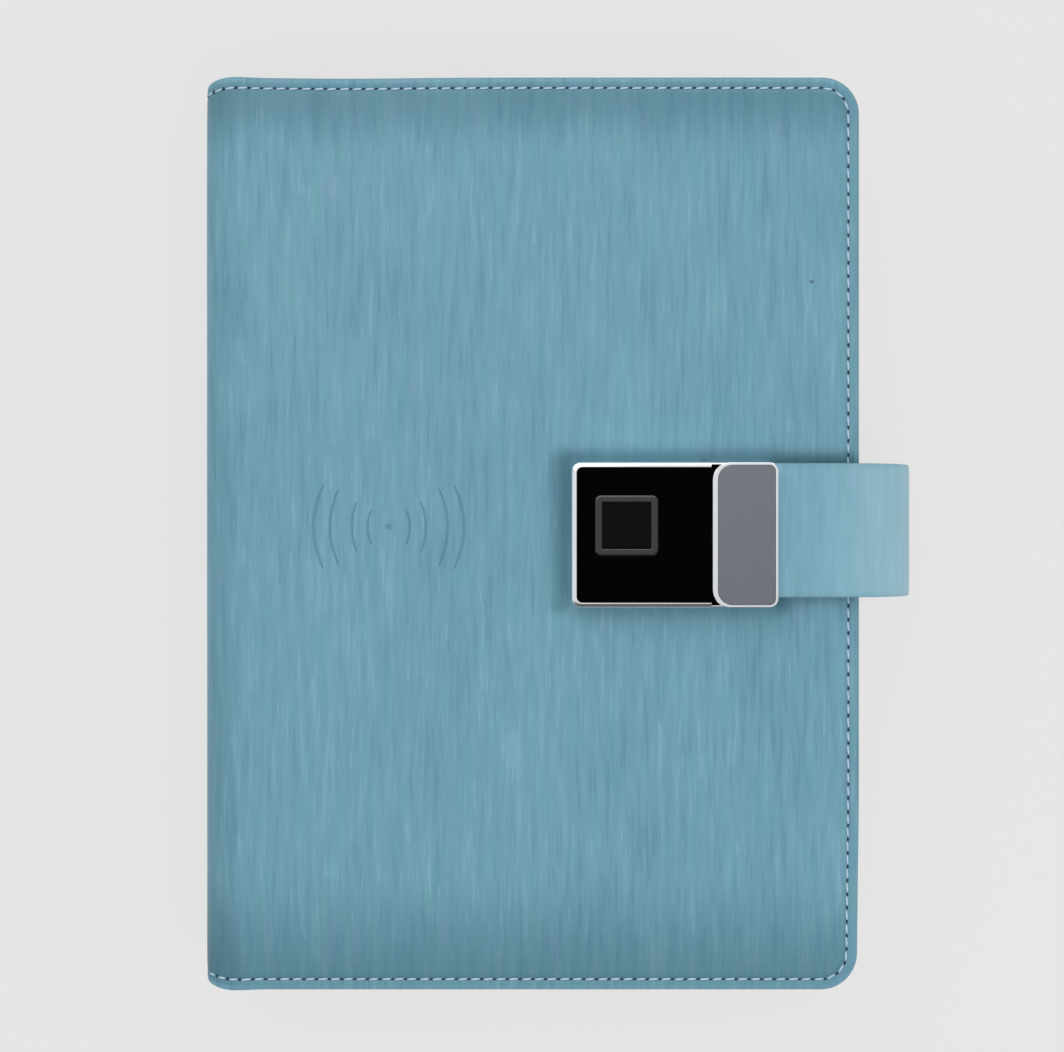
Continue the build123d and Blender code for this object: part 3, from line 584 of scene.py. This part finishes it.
def cover_point(side, s, t):
    """A point on a cover's leather, the strengths of its painted seam and edge shade and of its painted shade
    bands, and its normal.
    """
    front = side > 0
    depth = 6.0 if front else 4.2
    fall, groove = (0.95, 0.4) if front else (0.3, 0.3)
    x, z, nx, nz = section(s)
    across = PANEL_X + s - PANEL_S
    a = max(across - (FORE_X - CORNER), 0.0)
    b = max(abs(t) - (HALF - CORNER), 0.0)
    r = max(a, b)
    turn = 0.0
    if r:
        turn = pi / 4 * b / a if a >= b else pi / 2 - pi / 4 * a / b
    inset, drop = edge_profile(r - (CORNER - EDGE), depth)
    radius = CORNER - inset
    y = t
    if a:
        x = FORE_X - CORNER + radius * cos(turn)
    if b:
        y = HALF - CORNER + radius * sin(turn)
        y = y if t > 0 else -y
    distance = inset if r else min(FORE_X - across, HALF - abs(t))
    thin = smooth(PANEL_S - 6, PANEL_S + 6, s)
    fall *= 0.1 + 0.9 * thin
    sink = fall * exp(-((distance / 5.5) ** 2))
    seam_groove_shade = 0.0
    if not drop:
        sink += groove * (0.2 + 0.8 * thin) * exp(-(((distance - SEAM_INSET) / 0.6) ** 2))
        seam_groove_shade = exp(-(((distance - SEAM_INSET) / 0.8) ** 2))
    turned_in = 2.3 + 3.1 * (1 - smooth(SPINE_HALF - 1, SPINE_HALF + 3, s)) + (depth - 2.3) * thin
    wall = drop * (turned_in - fall) / depth
    if front and not drop:
        sink += 0.14 * noise.noise(Vector((x * 0.03, y * 0.012, 3.0))) * smooth(4, 14, distance)
    depth_here = sink + wall
    x -= nx * depth_here
    z -= nz * depth_here
    bulge = 1 - smooth(9, 21, s)
    x -= 1.0 * bulge
    y -= (1.1 * bulge if t > 0 else -1.1 * bulge) * smooth(60, HALF, abs(t))
    if front:
        x -= 0.5 * smooth(60, 117, -y) * smooth(40, 84, x)
        y -= 0.3 * smooth(100, 117, y) * exp(-(((x + 48) / 22) ** 2))
    if not front:
        z = THICK - z
        nz = -nz
    dark = 0.0 if drop else shade_at(x, t, distance, front)
    # Painted shade in the seam groove and, more faintly, along the strip between seam and edge.
    painted_light = seam_groove_shade * 0.22 + 0.08 * (1 - smooth(1.5, 2.6, distance))
    return (x, y, z), painted_light, dark, Vector((nx, 0, nz))


def cover_sheet(name, side):
    """One leather cover with its shoulder and its half of the spine."""
    out = 6.0 if side > 0 else 4.2
    past = EDGE * pi / 2 + (out - EDGE - UNDER) + UNDER * pi / 2 + 2.4
    panel_end = PANEL_S + FORE_X - PANEL_X
    rounding = panel_end - EDGE
    ends = [
        (0, EDGE * pi / 2, 7),
        (EDGE * pi / 2, EDGE * pi / 2 + out - EDGE - UNDER, 4),
        (EDGE * pi / 2 + out - EDGE - UNDER, past, 7),
    ]
    us = steps(
        (0, SPINE_HALF, 8),
        (SPINE_HALF, PANEL_S, 24),
        (PANEL_S, rounding - 5.5, 118),
        (rounding - 5.5, rounding, 16),
        *[(rounding + a, rounding + b, c) for a, b, c in ends],
    )
    edge_y = HALF - EDGE
    half = steps(
        (0, edge_y - 5.5, 84),
        (edge_y - 5.5, edge_y, 16),
        *[(edge_y + a, edge_y + b, c) for a, b, c in ends],
    )
    vs = [-v for v in half[:0:-1]] + half

    def place(u, v):
        return cover_point(side, u, v)[:3]

    cover = sheet_mesh(name, us, vs, place, "cover_leather")
    bodies = ("spine", "front_cover") if side > 0 else ("back_cover", "spine")
    span = (
        ((SPINE_X * MM, 0, (THICK - SHOULDER) * MM), (PANEL_X * MM, 0, THICK * MM))
        if side > 0
        else ((PANEL_X * MM, 0, 0), (SPINE_X * MM, 0, SHOULDER * MM))
    )
    return cover, bodies, span


def seam_route(side):
    """The stitched line as closely spaced (point, normal) pairs, from spine to spine."""
    inner = CORNER - SEAM_INSET
    straight_y = HALF - SEAM_INSET
    corner_s = PANEL_S + FORE_X - CORNER - PANEL_X
    fore_s = PANEL_S + FORE_X - SEAM_INSET - PANEL_X
    route = []
    fine = 0.2

    def walk(s0, t0, s1, t1):
        count = max(int(sqrt((s1 - s0) ** 2 + (t1 - t0) ** 2) / fine), 1)
        for n in range(count):
            k = n / count
            route.append((s0 + (s1 - s0) * k, t0 + (t1 - t0) * k))

    def turn(sign, start, stop):
        count = int(inner * pi / 2 / fine)
        for n in range(count):
            angle = start + (stop - start) * n / count
            # undo the corner's own mapping, which spreads a square over the quarter circle
            k = angle / (pi / 4)
            a, b = (inner, inner * k) if k <= 1 else (inner * (2 - k), inner)
            route.append((corner_s + a, sign * (HALF - CORNER + b)))

    walk(SPINE_HALF + 3.5, straight_y, corner_s, straight_y)
    turn(1, pi / 2, 0)
    walk(fore_s, HALF - CORNER, fore_s, CORNER - HALF)
    turn(-1, 0, pi / 2)
    walk(corner_s, -straight_y, SPINE_HALF + 3.5, -straight_y)
    spots = []
    for s, t in route:
        point, *_, normal = cover_point(side, s, t)
        spots.append((Vector(point), normal))
    return spots


# One stitch: its step, the gap left at each end, half the thread's width and height
PITCH = 3.42
STITCH_GAP = 0.55
THREAD_HALF = (0.26, 0.24)
# Weighs the seam's length, so that stitches are shorter across the book and longer along it
STEP_SCALE = Vector((1.046, 0.969, 1.0))


def stitches(side):
    """Thread stitches, and dark discs of painted shade at the needle holes between them, as two objects."""
    spots = seam_route(side)
    lengths = [0.0]
    for before, after in zip(spots, spots[1:]):
        step = (after[0] - before[0]) * STEP_SCALE
        lengths.append(lengths[-1] + step.length)
    count = int(lengths[-1] / PITCH)

    def at(length):
        n = next(i for i, total in enumerate(lengths) if total >= min(length, lengths[-1]))
        return spots[n]

    thread = bmesh.new()
    holes = bmesh.new()
    for n in range(count):
        a, normal = at(n * PITCH + STITCH_GAP)
        b, normal_b = at((n + 1) * PITCH - STITCH_GAP)
        hole, hole_normal = at(n * PITCH)
        along = (b - a).normalized()
        up = (normal + normal_b).normalized()
        side_way = up.cross(along).normalized()
        up = along.cross(side_way)
        middle = (a + b) / 2 + up * 0.16
        turn = Matrix((along, side_way, up)).transposed().to_4x4()
        shape = Matrix.Diagonal(((b - a).length / 2 + 0.12, *THREAD_HALF, 1.0))
        scaled = Matrix.Scale(MM, 4)
        slant = Matrix.Rotation(0.09, 4, "Z")
        lengthways = Matrix.Rotation(pi / 2, 4, "Y")
        whole = Matrix.Translation(middle * MM) @ turn @ slant @ shape @ scaled @ lengthways
        bmesh.ops.create_uvsphere(thread, u_segments=8, v_segments=6, radius=1.0, matrix=whole)
        # A flat dark disc at each needle hole: painted shade, not a hole cut into the leather.
        turn = Matrix((along, side_way, hole_normal)).transposed().to_4x4()
        whole = (
            Matrix.Translation((hole + hole_normal * 0.05) * MM)
            @ turn @ Matrix.Diagonal((0.54, 0.52, 0.06, 1.0)) @ scaled
        )
        bmesh.ops.create_uvsphere(holes, u_segments=10, v_segments=4, radius=1.0, matrix=whole)
    label = "front" if side > 0 else "back"
    made = finish_mesh(thread, "stitches_" + label, True, "cover_leather", "thread")
    hole_shade_discs = finish_mesh(holes, "painted_hole_shades_" + label, True, "cover_leather", "painted_hole_shade")
    return made, hole_shade_discs


def crease_lining(name, side):
    """The cloth inside a shoulder: from the spine's lining, round the bend, to the cover's."""
    radius = SHOULDER - 1.5
    low = THICK - SHOULDER
    end = 28.1 if side > 0 else 29.7
    path = [(-80.1, low - 0.4), (-80.9, low + 0.02), (-82.2, low + 0.1)]
    for turn in (radians(6 * n + 3) for n in range(15)):
        path.append((PANEL_X - radius * cos(turn), low + radius * sin(turn)))
    path += [(PANEL_X - 0.05, z) for z in (32.2, 31.0, end)]

    def place(u, v):
        x, z = path[u]
        return (x, v, z if side > 0 else THICK - z), 0.0, 0.0

    vs = steps((2 - HALF, HALF - 2, 60))
    return sheet_mesh(name, range(len(path)), vs, place, "lining_cloth")


def lining(name, body, z0, z1, x0, replaced):
    """A cover's thin cloth lining with soft edges."""
    bm = plate_bm(x0, FORE_X - 2.2, 2.2 - HALF, HALF - 2.2, z0, z1, 0, CORNER - 2.2, 0)
    outer = z0 if z0 > THICK / 2 else z1
    bevel(bm, [e for e in level_edges(bm, outer) if len(e.link_faces) == 2], 0.3, 3)
    obj = finish_mesh(bm, name, False, "lining_cloth")
    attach(obj, body)
    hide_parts(replaced)
    return obj


def covers():
    """Both leather covers with the spine, seams and linings."""
    front, bodies, span = cover_sheet("cover_front", 1)
    crease = crease_lining("crease_cloth_front", 1)
    pieces = [front, crease, *stitches(1)]
    for piece in pieces:
        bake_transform(piece)
    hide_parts("front_skin", "crease_upper", "spine_skin", "front_foam")
    back, bodies, span = cover_sheet("cover_back", -1)
    crease = crease_lining("crease_cloth_back", -1)
    for piece in (back, crease, *stitches(-1)):
        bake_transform(piece)
    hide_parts("back_skin", "crease_lower")
    lining("lining_front", "front_cover", 28.0, 28.8, PANEL_X, "front_lining")
    lining("lining_back", "back_cover", 3.4, 4.2, PANEL_X, "back_lining")
    bm = box_bm(-80.8, -80.0, 1.2 - HALF, HALF - 1.2, SHOULDER, THICK - SHOULDER)
    cloth = finish_mesh(bm, "lining_spine", False, "lining_cloth")
    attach(cloth, "spine")
    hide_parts("spine_lining")


# The strap

ARCH_X = 81.4
ARCH_Z = 19.8
ARCH_R = 17.4
STRAP_Y = 0.85
STRAP_HALF = 17.05


def strap_line():
    """The strap's middle line in X and Z from inside the clasp to its root, evenly spaced."""
    points = [(52.6 + n * 0.5, 38.7) for n in range(27)]
    start = Vector((65.9, 38.7))
    stop = Vector((ARCH_X + ARCH_R * cos(radians(75)), ARCH_Z + ARCH_R * sin(radians(75))))
    pull_a = start + Vector((9.0, 0.0))
    pull_b = stop - Vector((sin(radians(75)), -cos(radians(75)))) * 7.5
    for n in range(1, 34):
        k = n / 34
        point = (
            start * (1 - k) ** 3 + pull_a * 3 * k * (1 - k) ** 2
            + pull_b * 3 * k * k * (1 - k) + stop * k**3
        )
        points.append(tuple(point))
    for n in range(89):
        angle = radians(75 - 145 * n / 88)
        flat = 1 - 0.055 * smooth(0.3, 1.0, cos(angle))
        points.append((ARCH_X + ARCH_R * flat * cos(angle), ARCH_Z + ARCH_R * sin(angle)))
    for n in range(1, 9):
        k = n / 8
        points.append((87.35 + (84.0 - 87.35) * k, 3.45 + (1.85 - 3.45) * k * (1.6 - 0.6 * k)))
    points += [(84 - n * 2.0, 1.85) for n in range(1, 11)]
    return points


def strap_piece(name, line, offset):
    """A length of strap with rounded edges, swept along part of its middle line."""
    half_thick = 1.15
    ring = []
    corner = 0.45
    for cx, cz, start in ((1, 1, 0), (-1, 1, 90), (-1, -1, 180), (1, -1, 270)):
        for n in range(5):
            angle = radians(start + 22.5 * n)
            ring.append((
                cx * (STRAP_HALF - corner) + corner * cos(angle),
                cz * (half_thick - corner) + corner * sin(angle),
            ))
        if cx == 1 and cz == 1 or cx == -1 and cz == -1:
            for n in range(1, 24):
                across = (STRAP_HALF - corner) * (1 - n / 12)
                ring.append((across * cz, cz * half_thick))
    ring.append(ring[0])
    total = [offset]
    for a, b in zip(line, line[1:]):
        total.append(total[-1] + (Vector(b) - Vector(a)).length)

    def place(u, v):
        n = total.index(u)
        y, w = ring[v]
        before = Vector(line[max(n - 1, 0)])
        after = Vector(line[min(n + 1, len(line) - 1)])
        along = (after - before).normalized()
        x, z = line[n]
        edge = smooth(STRAP_HALF - 0.8, STRAP_HALF, abs(y))
        if w > 0:
            w -= 0.12 * smooth(STRAP_HALF - 3.0, STRAP_HALF, abs(y))
        point = (x - along.y * w, STRAP_Y + y, z + along.x * w)
        # Painted highlight where the strap bends down over the fore edge; the strap's sides get a darker
        # colour.
        light = 0.27 * smooth(68, 96, x) * smooth(13, 24, z)
        return point, light, 0.25 * edge

    bm_object = sheet_mesh(name, total, list(range(len(ring))), place, "strap_leather", weld=0.0005)
    uv = bm_object.data.uv_layers["UVMap"].data
    for poly in bm_object.data.polygons:
        for loop in poly.loop_indices:
            u, v = uv[loop].uv
            y, w = ring[round(v / MM)]
            uv[loop].uv = (u, (y + w) * MM)
    return bm_object


def strap():
    """The strap in two lengths that meet at the middle of its bulge."""
    line = strap_line()
    middle = 27 + 33 + round(88 * 75 / 145)
    upper = strap_piece("strap_upper", line[: middle + 1], 0.0)
    lower = strap_piece("strap_lower", line[middle:], 60.0)
    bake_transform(upper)
    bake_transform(lower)
    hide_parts("flap_outer", "flap_lining", "strap_fold_upper", "riser_outer", "riser_lining")
    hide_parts("strap_fold_lower", "strap_root")


# The lock and the clasp


def lock():
    """Bright housing, black face, sensor ring and window."""
    x0, x1, y0, y1 = 9.6, 61.6, -18.85, 18.15
    tall = 45.0
    opening = (x0 + 1.4, tall + 2, y0 + 1.4, y1 - 1.4)
    housing = frame_bm((x0, tall, y0, y1), opening, 34.0, 42.4, (2.4, 0, 1.5, 0), (1.25, 0.08))
    part = finish_mesh(housing, "lock_rim", True, "bright_metal")
    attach(part, "front_cover")
    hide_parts("lock_housing")
    part.data.set_sharp_from_angle(angle=radians(35))
    shelf = plate_bm(tall - 2, x1, y0, y1, 34.0, 36.4, 0, 2.2, 0.3)
    part = finish_mesh(shelf, "lock_shelf", False, "bright_metal")
    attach(part, "front_cover")
    inlay = plate_bm(tall - 0.5, x1 - 1.2, y0 + 0.5, y1 - 0.5, 36.3, 36.48, 0, 1.5, 0.05)
    part = finish_mesh(inlay, "lock_inlay", False, "bright_metal", "black_glass")
    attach(part, "front_cover")
    face = plate_bm(x0 + 1.45, tall, y0 + 1.45, y1 - 1.45, 40.0, 42.28, 1.45, 0, 0.12)
    part = finish_mesh(face, "lock_glass", False, "black_glass")
    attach(part, "front_cover")
    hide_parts("lock_face")
    sx, sy = 23.6, 2.0
    outer = (sx - 8.05, sx + 8.05, sy - 7.75, sy + 7.75)
    opening = (sx - 6.15, sx + 6.15, sy - 5.85, sy + 5.85)
    ring = frame_bm(outer, opening, 41.6, 42.75, (1.6, 1.6, 0.3, 0.3), (0.6, 0.8))
    part = finish_mesh(ring, "sensor_bezel", False, "sensor_metal")
    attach(part, "front_cover")
    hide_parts("sensor_ring")
    window = plate_bm(sx - 6.1, sx + 6.1, sy - 5.8, sy + 5.8, 41.6, 42.4, 0.25, 0.25, 0.05)
    part = finish_mesh(window, "sensor_pane", False, "black_glass", "window_glass")
    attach(part, "front_cover")
    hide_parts("sensor_window")
    bolt_coil()


def bolt_coil():
    """The coiled spring behind the latch bolt; the real one shortens as the bolt is drawn back, this one
    moves rigidly with the front cover.
    """
    left, right, y, z = 38.32, 42.24, -0.35, 38.9
    turns, steps, wire_radius = 5, 28, 0.17
    bm = bmesh.new()
    start = Matrix.Translation(Vector((left + wire_radius, y, z + 1.9)) * MM)
    bmesh.ops.create_circle(bm, segments=12, radius=wire_radius * MM,
                            matrix=start @ Matrix.Rotation(radians(90), 4, "X"))
    advance = (right - left - 2 * wire_radius) / (turns * steps)
    bmesh.ops.spin(
        bm, geom=bm.verts[:] + bm.edges[:], cent=Vector((left, y, z)) * MM, axis=(1, 0, 0),
        dvec=(advance * MM, 0, 0), angle=radians(360 * turns), steps=turns * steps,
    )
    bmesh.ops.holes_fill(bm, edges=[e for e in bm.edges if e.is_boundary], sides=0)
    part = finish_mesh(bm, "bolt_coil", True, "spring_steel")
    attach(part, "front_cover")
    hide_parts("bolt_spring")
    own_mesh(part)


def clasp():
    """Bright clasp frame and its grey plate."""
    x0, x1, y0, y1 = 45.3, 61.9, -18.65, 17.95
    opening = (x0 + 1.3, x1 - 0.7, y0 + 0.6, y1 - 0.6)
    rim = frame_bm((x0, x1, y0, y1), opening, 38.9, 42.4, (4.4, 2.2, 3.7, 1.6), (0.55, 0.1))
    part = finish_mesh(rim, "clasp_rim", False, "bright_metal")
    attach(part, "strap_flap")
    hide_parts("clasp_frame")
    floor = plate_bm(x0, x1 - 9.6, y0, y1, 36.7, 38.95, 4.4, 0, 0.1)
    part = finish_mesh(floor, "clasp_floor", False, "bright_metal")
    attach(part, "strap_flap")
    tongue = plate_bm(x1 - 9.7, x1, y0, y1, 36.7, 37.5, 0, 2.2, 0.1)
    part = finish_mesh(tongue, "clasp_tongue", False, "bright_metal")
    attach(part, "strap_flap")
    plate = plate_bm(x0 + 1.35, x1 - 0.75, y0 + 0.65, y1 - 0.65, 41.2, 42.3, 3.65, 1.55, 0.12)
    part = finish_mesh(plate, "clasp_cover", False, "grey_plate")
    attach(part, "strap_flap")
    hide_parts("clasp_plate")


# Rings and paper

RING_X = -62.5
RING_ROWS = [side * (35 + 19 * n) for side in (-1, 1) for n in range(3)]


def rounded_line(points, bends):
    """A line through corner points with each inner corner turned into an arc."""
    per_bend = 8
    line = [Vector(points[0])]
    for n in range(1, len(points) - 1):
        corner = Vector(points[n])
        back = (Vector(points[n - 1]) - corner).normalized()
        ahead = (Vector(points[n + 1]) - corner).normalized()
        reach = bends[n - 1]
        a = corner + back * reach
        b = corner + ahead * reach
        for k in [i / per_bend for i in range(per_bend + 1)]:
            line.append(a * (1 - k) ** 2 + corner * 2 * k * (1 - k) + b * k * k)
    line.append(Vector(points[-1]))
    return line


def wire(name, line, radius, body, replaced):
    """Round wires for every ring row, bent along a line in X and Z."""
    sides = 16
    bm = bmesh.new()
    for y in RING_ROWS:
        rings = []
        for n, point in enumerate(line):
            before = line[max(n - 1, 0)]
            after = line[min(n + 1, len(line) - 1)]
            along = (after - before).normalized()
            turn = Vector((along.x, 0, along.y)).to_track_quat("Z", "Y").to_matrix().to_4x4()
            tip = 0.82 if n in (0, len(line) - 1) else 1.0
            place = Matrix.Translation(Vector((point.x, y, point.y)) * MM) @ turn
            made = bmesh.ops.create_circle(bm, segments=sides, radius=radius * tip * MM, matrix=place)
            rings.append(made["verts"])
        for a, b in zip(rings, rings[1:]):
            near = {e for v in a + b for e in v.link_edges}
            edges = {e for e in near if any(all(w in loop for w in e.verts) for loop in (a, b))}
            bmesh.ops.bridge_loops(bm, edges=list(edges))
        for end in (rings[0], rings[-1]):
            bmesh.ops.contextual_create(bm, geom=end)
    obj = finish_mesh(bm, name, True, "bright_metal")
    obj.data.set_sharp_from_angle(angle=radians(50))
    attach(obj, body)
    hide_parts(replaced)


def rings():
    """The ring halves, as smooth round wires."""
    low = 5.9
    top = 25.2
    post = [(RING_X + 5, low), (RING_X + 5, top), (RING_X + 0.15, top)]
    wire("ring_posts", rounded_line(post, [4.4]), 1.2, "ring_right", "ring_halves_right")
    bow = [
        (RING_X - 5, low),
        (RING_X - 5, 8.6),
        (RING_X - 10.5, 12.8),
        (RING_X - 10.5, top),
        (RING_X - 0.15, top),
    ]
    wire("ring_bows", rounded_line(bow, [1.6, 2.4, 7.6]), 1.2, "ring_left", "ring_halves_left")


def paper():
    """The block of loose sheets with punched holes; the frosted divider is left as the carried-over CAD part.
    """
    x0, x1, half = -61.9, 80.1, 105.0
    points = [(x0, 8.7), (-53.0, 8.7), (-41.0, 4.5), (x1, 4.5), (x1, 17.7), (x0, 17.7)]
    bm = bmesh.new()
    count = 44
    made = bmesh.ops.create_circle(bm, segments=len(points), radius=1.0, cap_ends=True)
    for vert, (x, z) in zip(made["verts"], points):
        vert.co = Vector((x, -half, z)) * MM
    face = bm.faces[:]
    extruded = bmesh.ops.extrude_face_region(bm, geom=face)
    moved = [g for g in extruded["geom"] if isinstance(g, bmesh.types.BMVert)]
    bmesh.ops.translate(bm, verts=moved, vec=(0, 2 * half * MM, 0))
    for n in range(1, count):
        z = 4.5 + 13.2 * n / count
        bmesh.ops.bisect_plane(
            bm, geom=bm.verts[:] + bm.edges[:] + bm.faces[:],
            plane_co=(0, 0, z * MM), plane_no=(0, 0, 1),
        )
    for vert in bm.verts:
        x, y, z = vert.co / MM
        row = round((z - 4.5) / 13.2 * count)
        push = 0.16 * noise.noise(Vector((row * 0.73, 5.0, 0.0))) + (0.05 if row % 2 else -0.05)
        push = min(push, 0.0)
        if x > x1 - 0.01:
            vert.co.x += push * MM
        if abs(y) > half - 0.01:
            vert.co.y += (push if y > 0 else -push) * MM
    punched = punch(bm, 4.0, 18.0)
    obj = finish_mesh(punched, "paper_sheets_stack", False, "paper_sheets")
    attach(obj, "back_cover")
    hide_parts("paper_block")


def punch(bm, z0, z1):
    """Cuts the six ring holes through a block of sheets."""
    body = bpy.data.meshes.new("sheets")
    bmesh.ops.recalc_face_normals(bm, faces=bm.faces)
    bm.to_mesh(body)
    bm.free()
    drill = bmesh.new()
    for y in RING_ROWS:
        place = Matrix.Translation(Vector((-56.2, y, (z0 + z1) / 2)) * MM)
        bmesh.ops.create_cone(
            drill, cap_ends=True, segments=28, radius1=3.2 * MM, radius2=3.2 * MM,
            depth=(z1 - z0) * MM, matrix=place,
        )
    cutter = bpy.data.meshes.new("drill")
    drill.to_mesh(cutter)
    drill.free()
    return cut(body, cutter, lambda made: None)


# The stage


def seen_directly(n):
    """1 where the camera, a reflection or a see-through part shows the background."""
    rays = n.add("LightPath").outputs
    seen = n.math("ADD", rays["Is Camera Ray"], rays["Is Glossy Ray"])
    return n.math("ADD", seen, rays["Is Transmission Ray"], clamp=True)


def pale_floor():
    """The floor's own grey, with the book's soft shadow kept in it."""
    made, n, shader = material("pale_floor")
    wire_up(n, shader, Base_Color=colour(229, 229, 229), Roughness=0.9, Specular_IOR_Level=0.1)
    glow = n.add("Emission", {"Color": colour(231, 231, 231), "Strength": 1.0})
    share = n.math("MULTIPLY", seen_directly(n), 0.86)
    mixed = n.add("MixShader", {0: share, 1: shader.outputs[0], 2: glow.outputs[0]})
    sink = next(node for node in n.tree.nodes if node.type == "OUTPUT_MATERIAL")
    n.tree.links.new(mixed.outputs[0], sink.inputs["Surface"])
    return made


def studio_world():
    """An even white studio; shiny things mirror it brighter beyond the head, darker at the foot."""
    world = bpy.data.worlds.new("studio")
    world.use_nodes = True
    n = Nodes(world.node_tree)
    background = world.node_tree.nodes["Background"]
    x, y = n.add("SeparateXYZ", {0: n.add("TexCoord").outputs["Generated"]}).outputs[:2]
    lean = n.math("SUBTRACT", n.math("MULTIPLY", y, 0.95), n.math("MULTIPLY", x, 0.2))
    mirrored = n.math("ADD", n.ramp(lean, -0.55, 0.05, 0.14, 0.84), n.ramp(lean, 0.45, 0.7, 0.0, 2.0))
    rays = n.add("LightPath").outputs
    level = n.add("MapRange", {0: rays["Is Glossy Ray"], 3: 0.66, 4: mirrored}).outputs[0]
    level = n.add("MapRange", {0: rays["Is Camera Ray"], 3: level, 4: 0.8}).outputs[0]
    wire_up(n, background, Color=colour(255, 255, 255), Strength=level)
    return world


def stage():
    """Pale floor, soft studio light and the camera straight above."""
    bm = bmesh.new()
    bmesh.ops.create_grid(bm, x_segments=1, y_segments=1, size=6.0)
    bmesh.ops.translate(bm, verts=bm.verts, vec=(0, 0, -0.00005))
    mesh = bpy.data.meshes.new("floor")
    bm.to_mesh(mesh)
    bm.free()
    floor = bpy.data.objects.new("floor", mesh)
    bpy.context.scene.collection.objects.link(floor)
    mesh.materials.append(pale_floor())
    for label, place, size, watts, shines in (
        ("key", (0.5, -0.55, 1.2), 0.8, 5.0, False),
        ("soft_box", (-0.45, 0.7, 1.25), 1.0, 3.5, True),
    ):
        light = bpy.data.lights.new(label, "AREA")
        light.size = size
        light.energy = watts
        lamp = bpy.data.objects.new(label, light)
        bpy.context.scene.collection.objects.link(lamp)
        lamp.location = place
        lamp.rotation_euler = (-Vector(place)).to_track_quat("-Z", "Y").to_euler()
        lamp.visible_glossy = shines
    bpy.context.scene.world = studio_world()
    camera = bpy.data.objects.new("camera", bpy.data.cameras.new("camera"))
    bpy.context.scene.collection.objects.link(camera)
    camera.location = (-0.00026, 0.00193, 0.509)
    camera.data.sensor_width = 36.0
    camera.data.lens = 62.65
    camera.data.clip_start = 0.01
    bpy.context.scene.camera = camera
    scene = bpy.context.scene
    scene.view_settings.view_transform = "Standard"


def dress(frame):
    """Gives every carried-over CAD node the material of its slot."""
    slots = {part["node"]: part["material_slot"] for part in frame["record"]["subparts"]}
    for name, obj in frame["nodes"].items():
        obj.data.materials.clear()
        obj.data.materials.append(MATERIALS["dark_steel" if name == "latch_bolt" else slots[name]])


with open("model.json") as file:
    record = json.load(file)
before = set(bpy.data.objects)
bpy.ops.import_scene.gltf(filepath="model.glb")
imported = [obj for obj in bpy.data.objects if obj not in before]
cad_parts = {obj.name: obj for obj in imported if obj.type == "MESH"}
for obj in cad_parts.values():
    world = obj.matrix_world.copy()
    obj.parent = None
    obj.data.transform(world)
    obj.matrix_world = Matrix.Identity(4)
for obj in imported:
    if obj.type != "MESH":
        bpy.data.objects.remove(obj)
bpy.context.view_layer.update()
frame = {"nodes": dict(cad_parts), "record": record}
MATERIALS = make_materials()
dress(frame)
covers()
strap()
lock()
clasp()
rings()
paper()
stage()
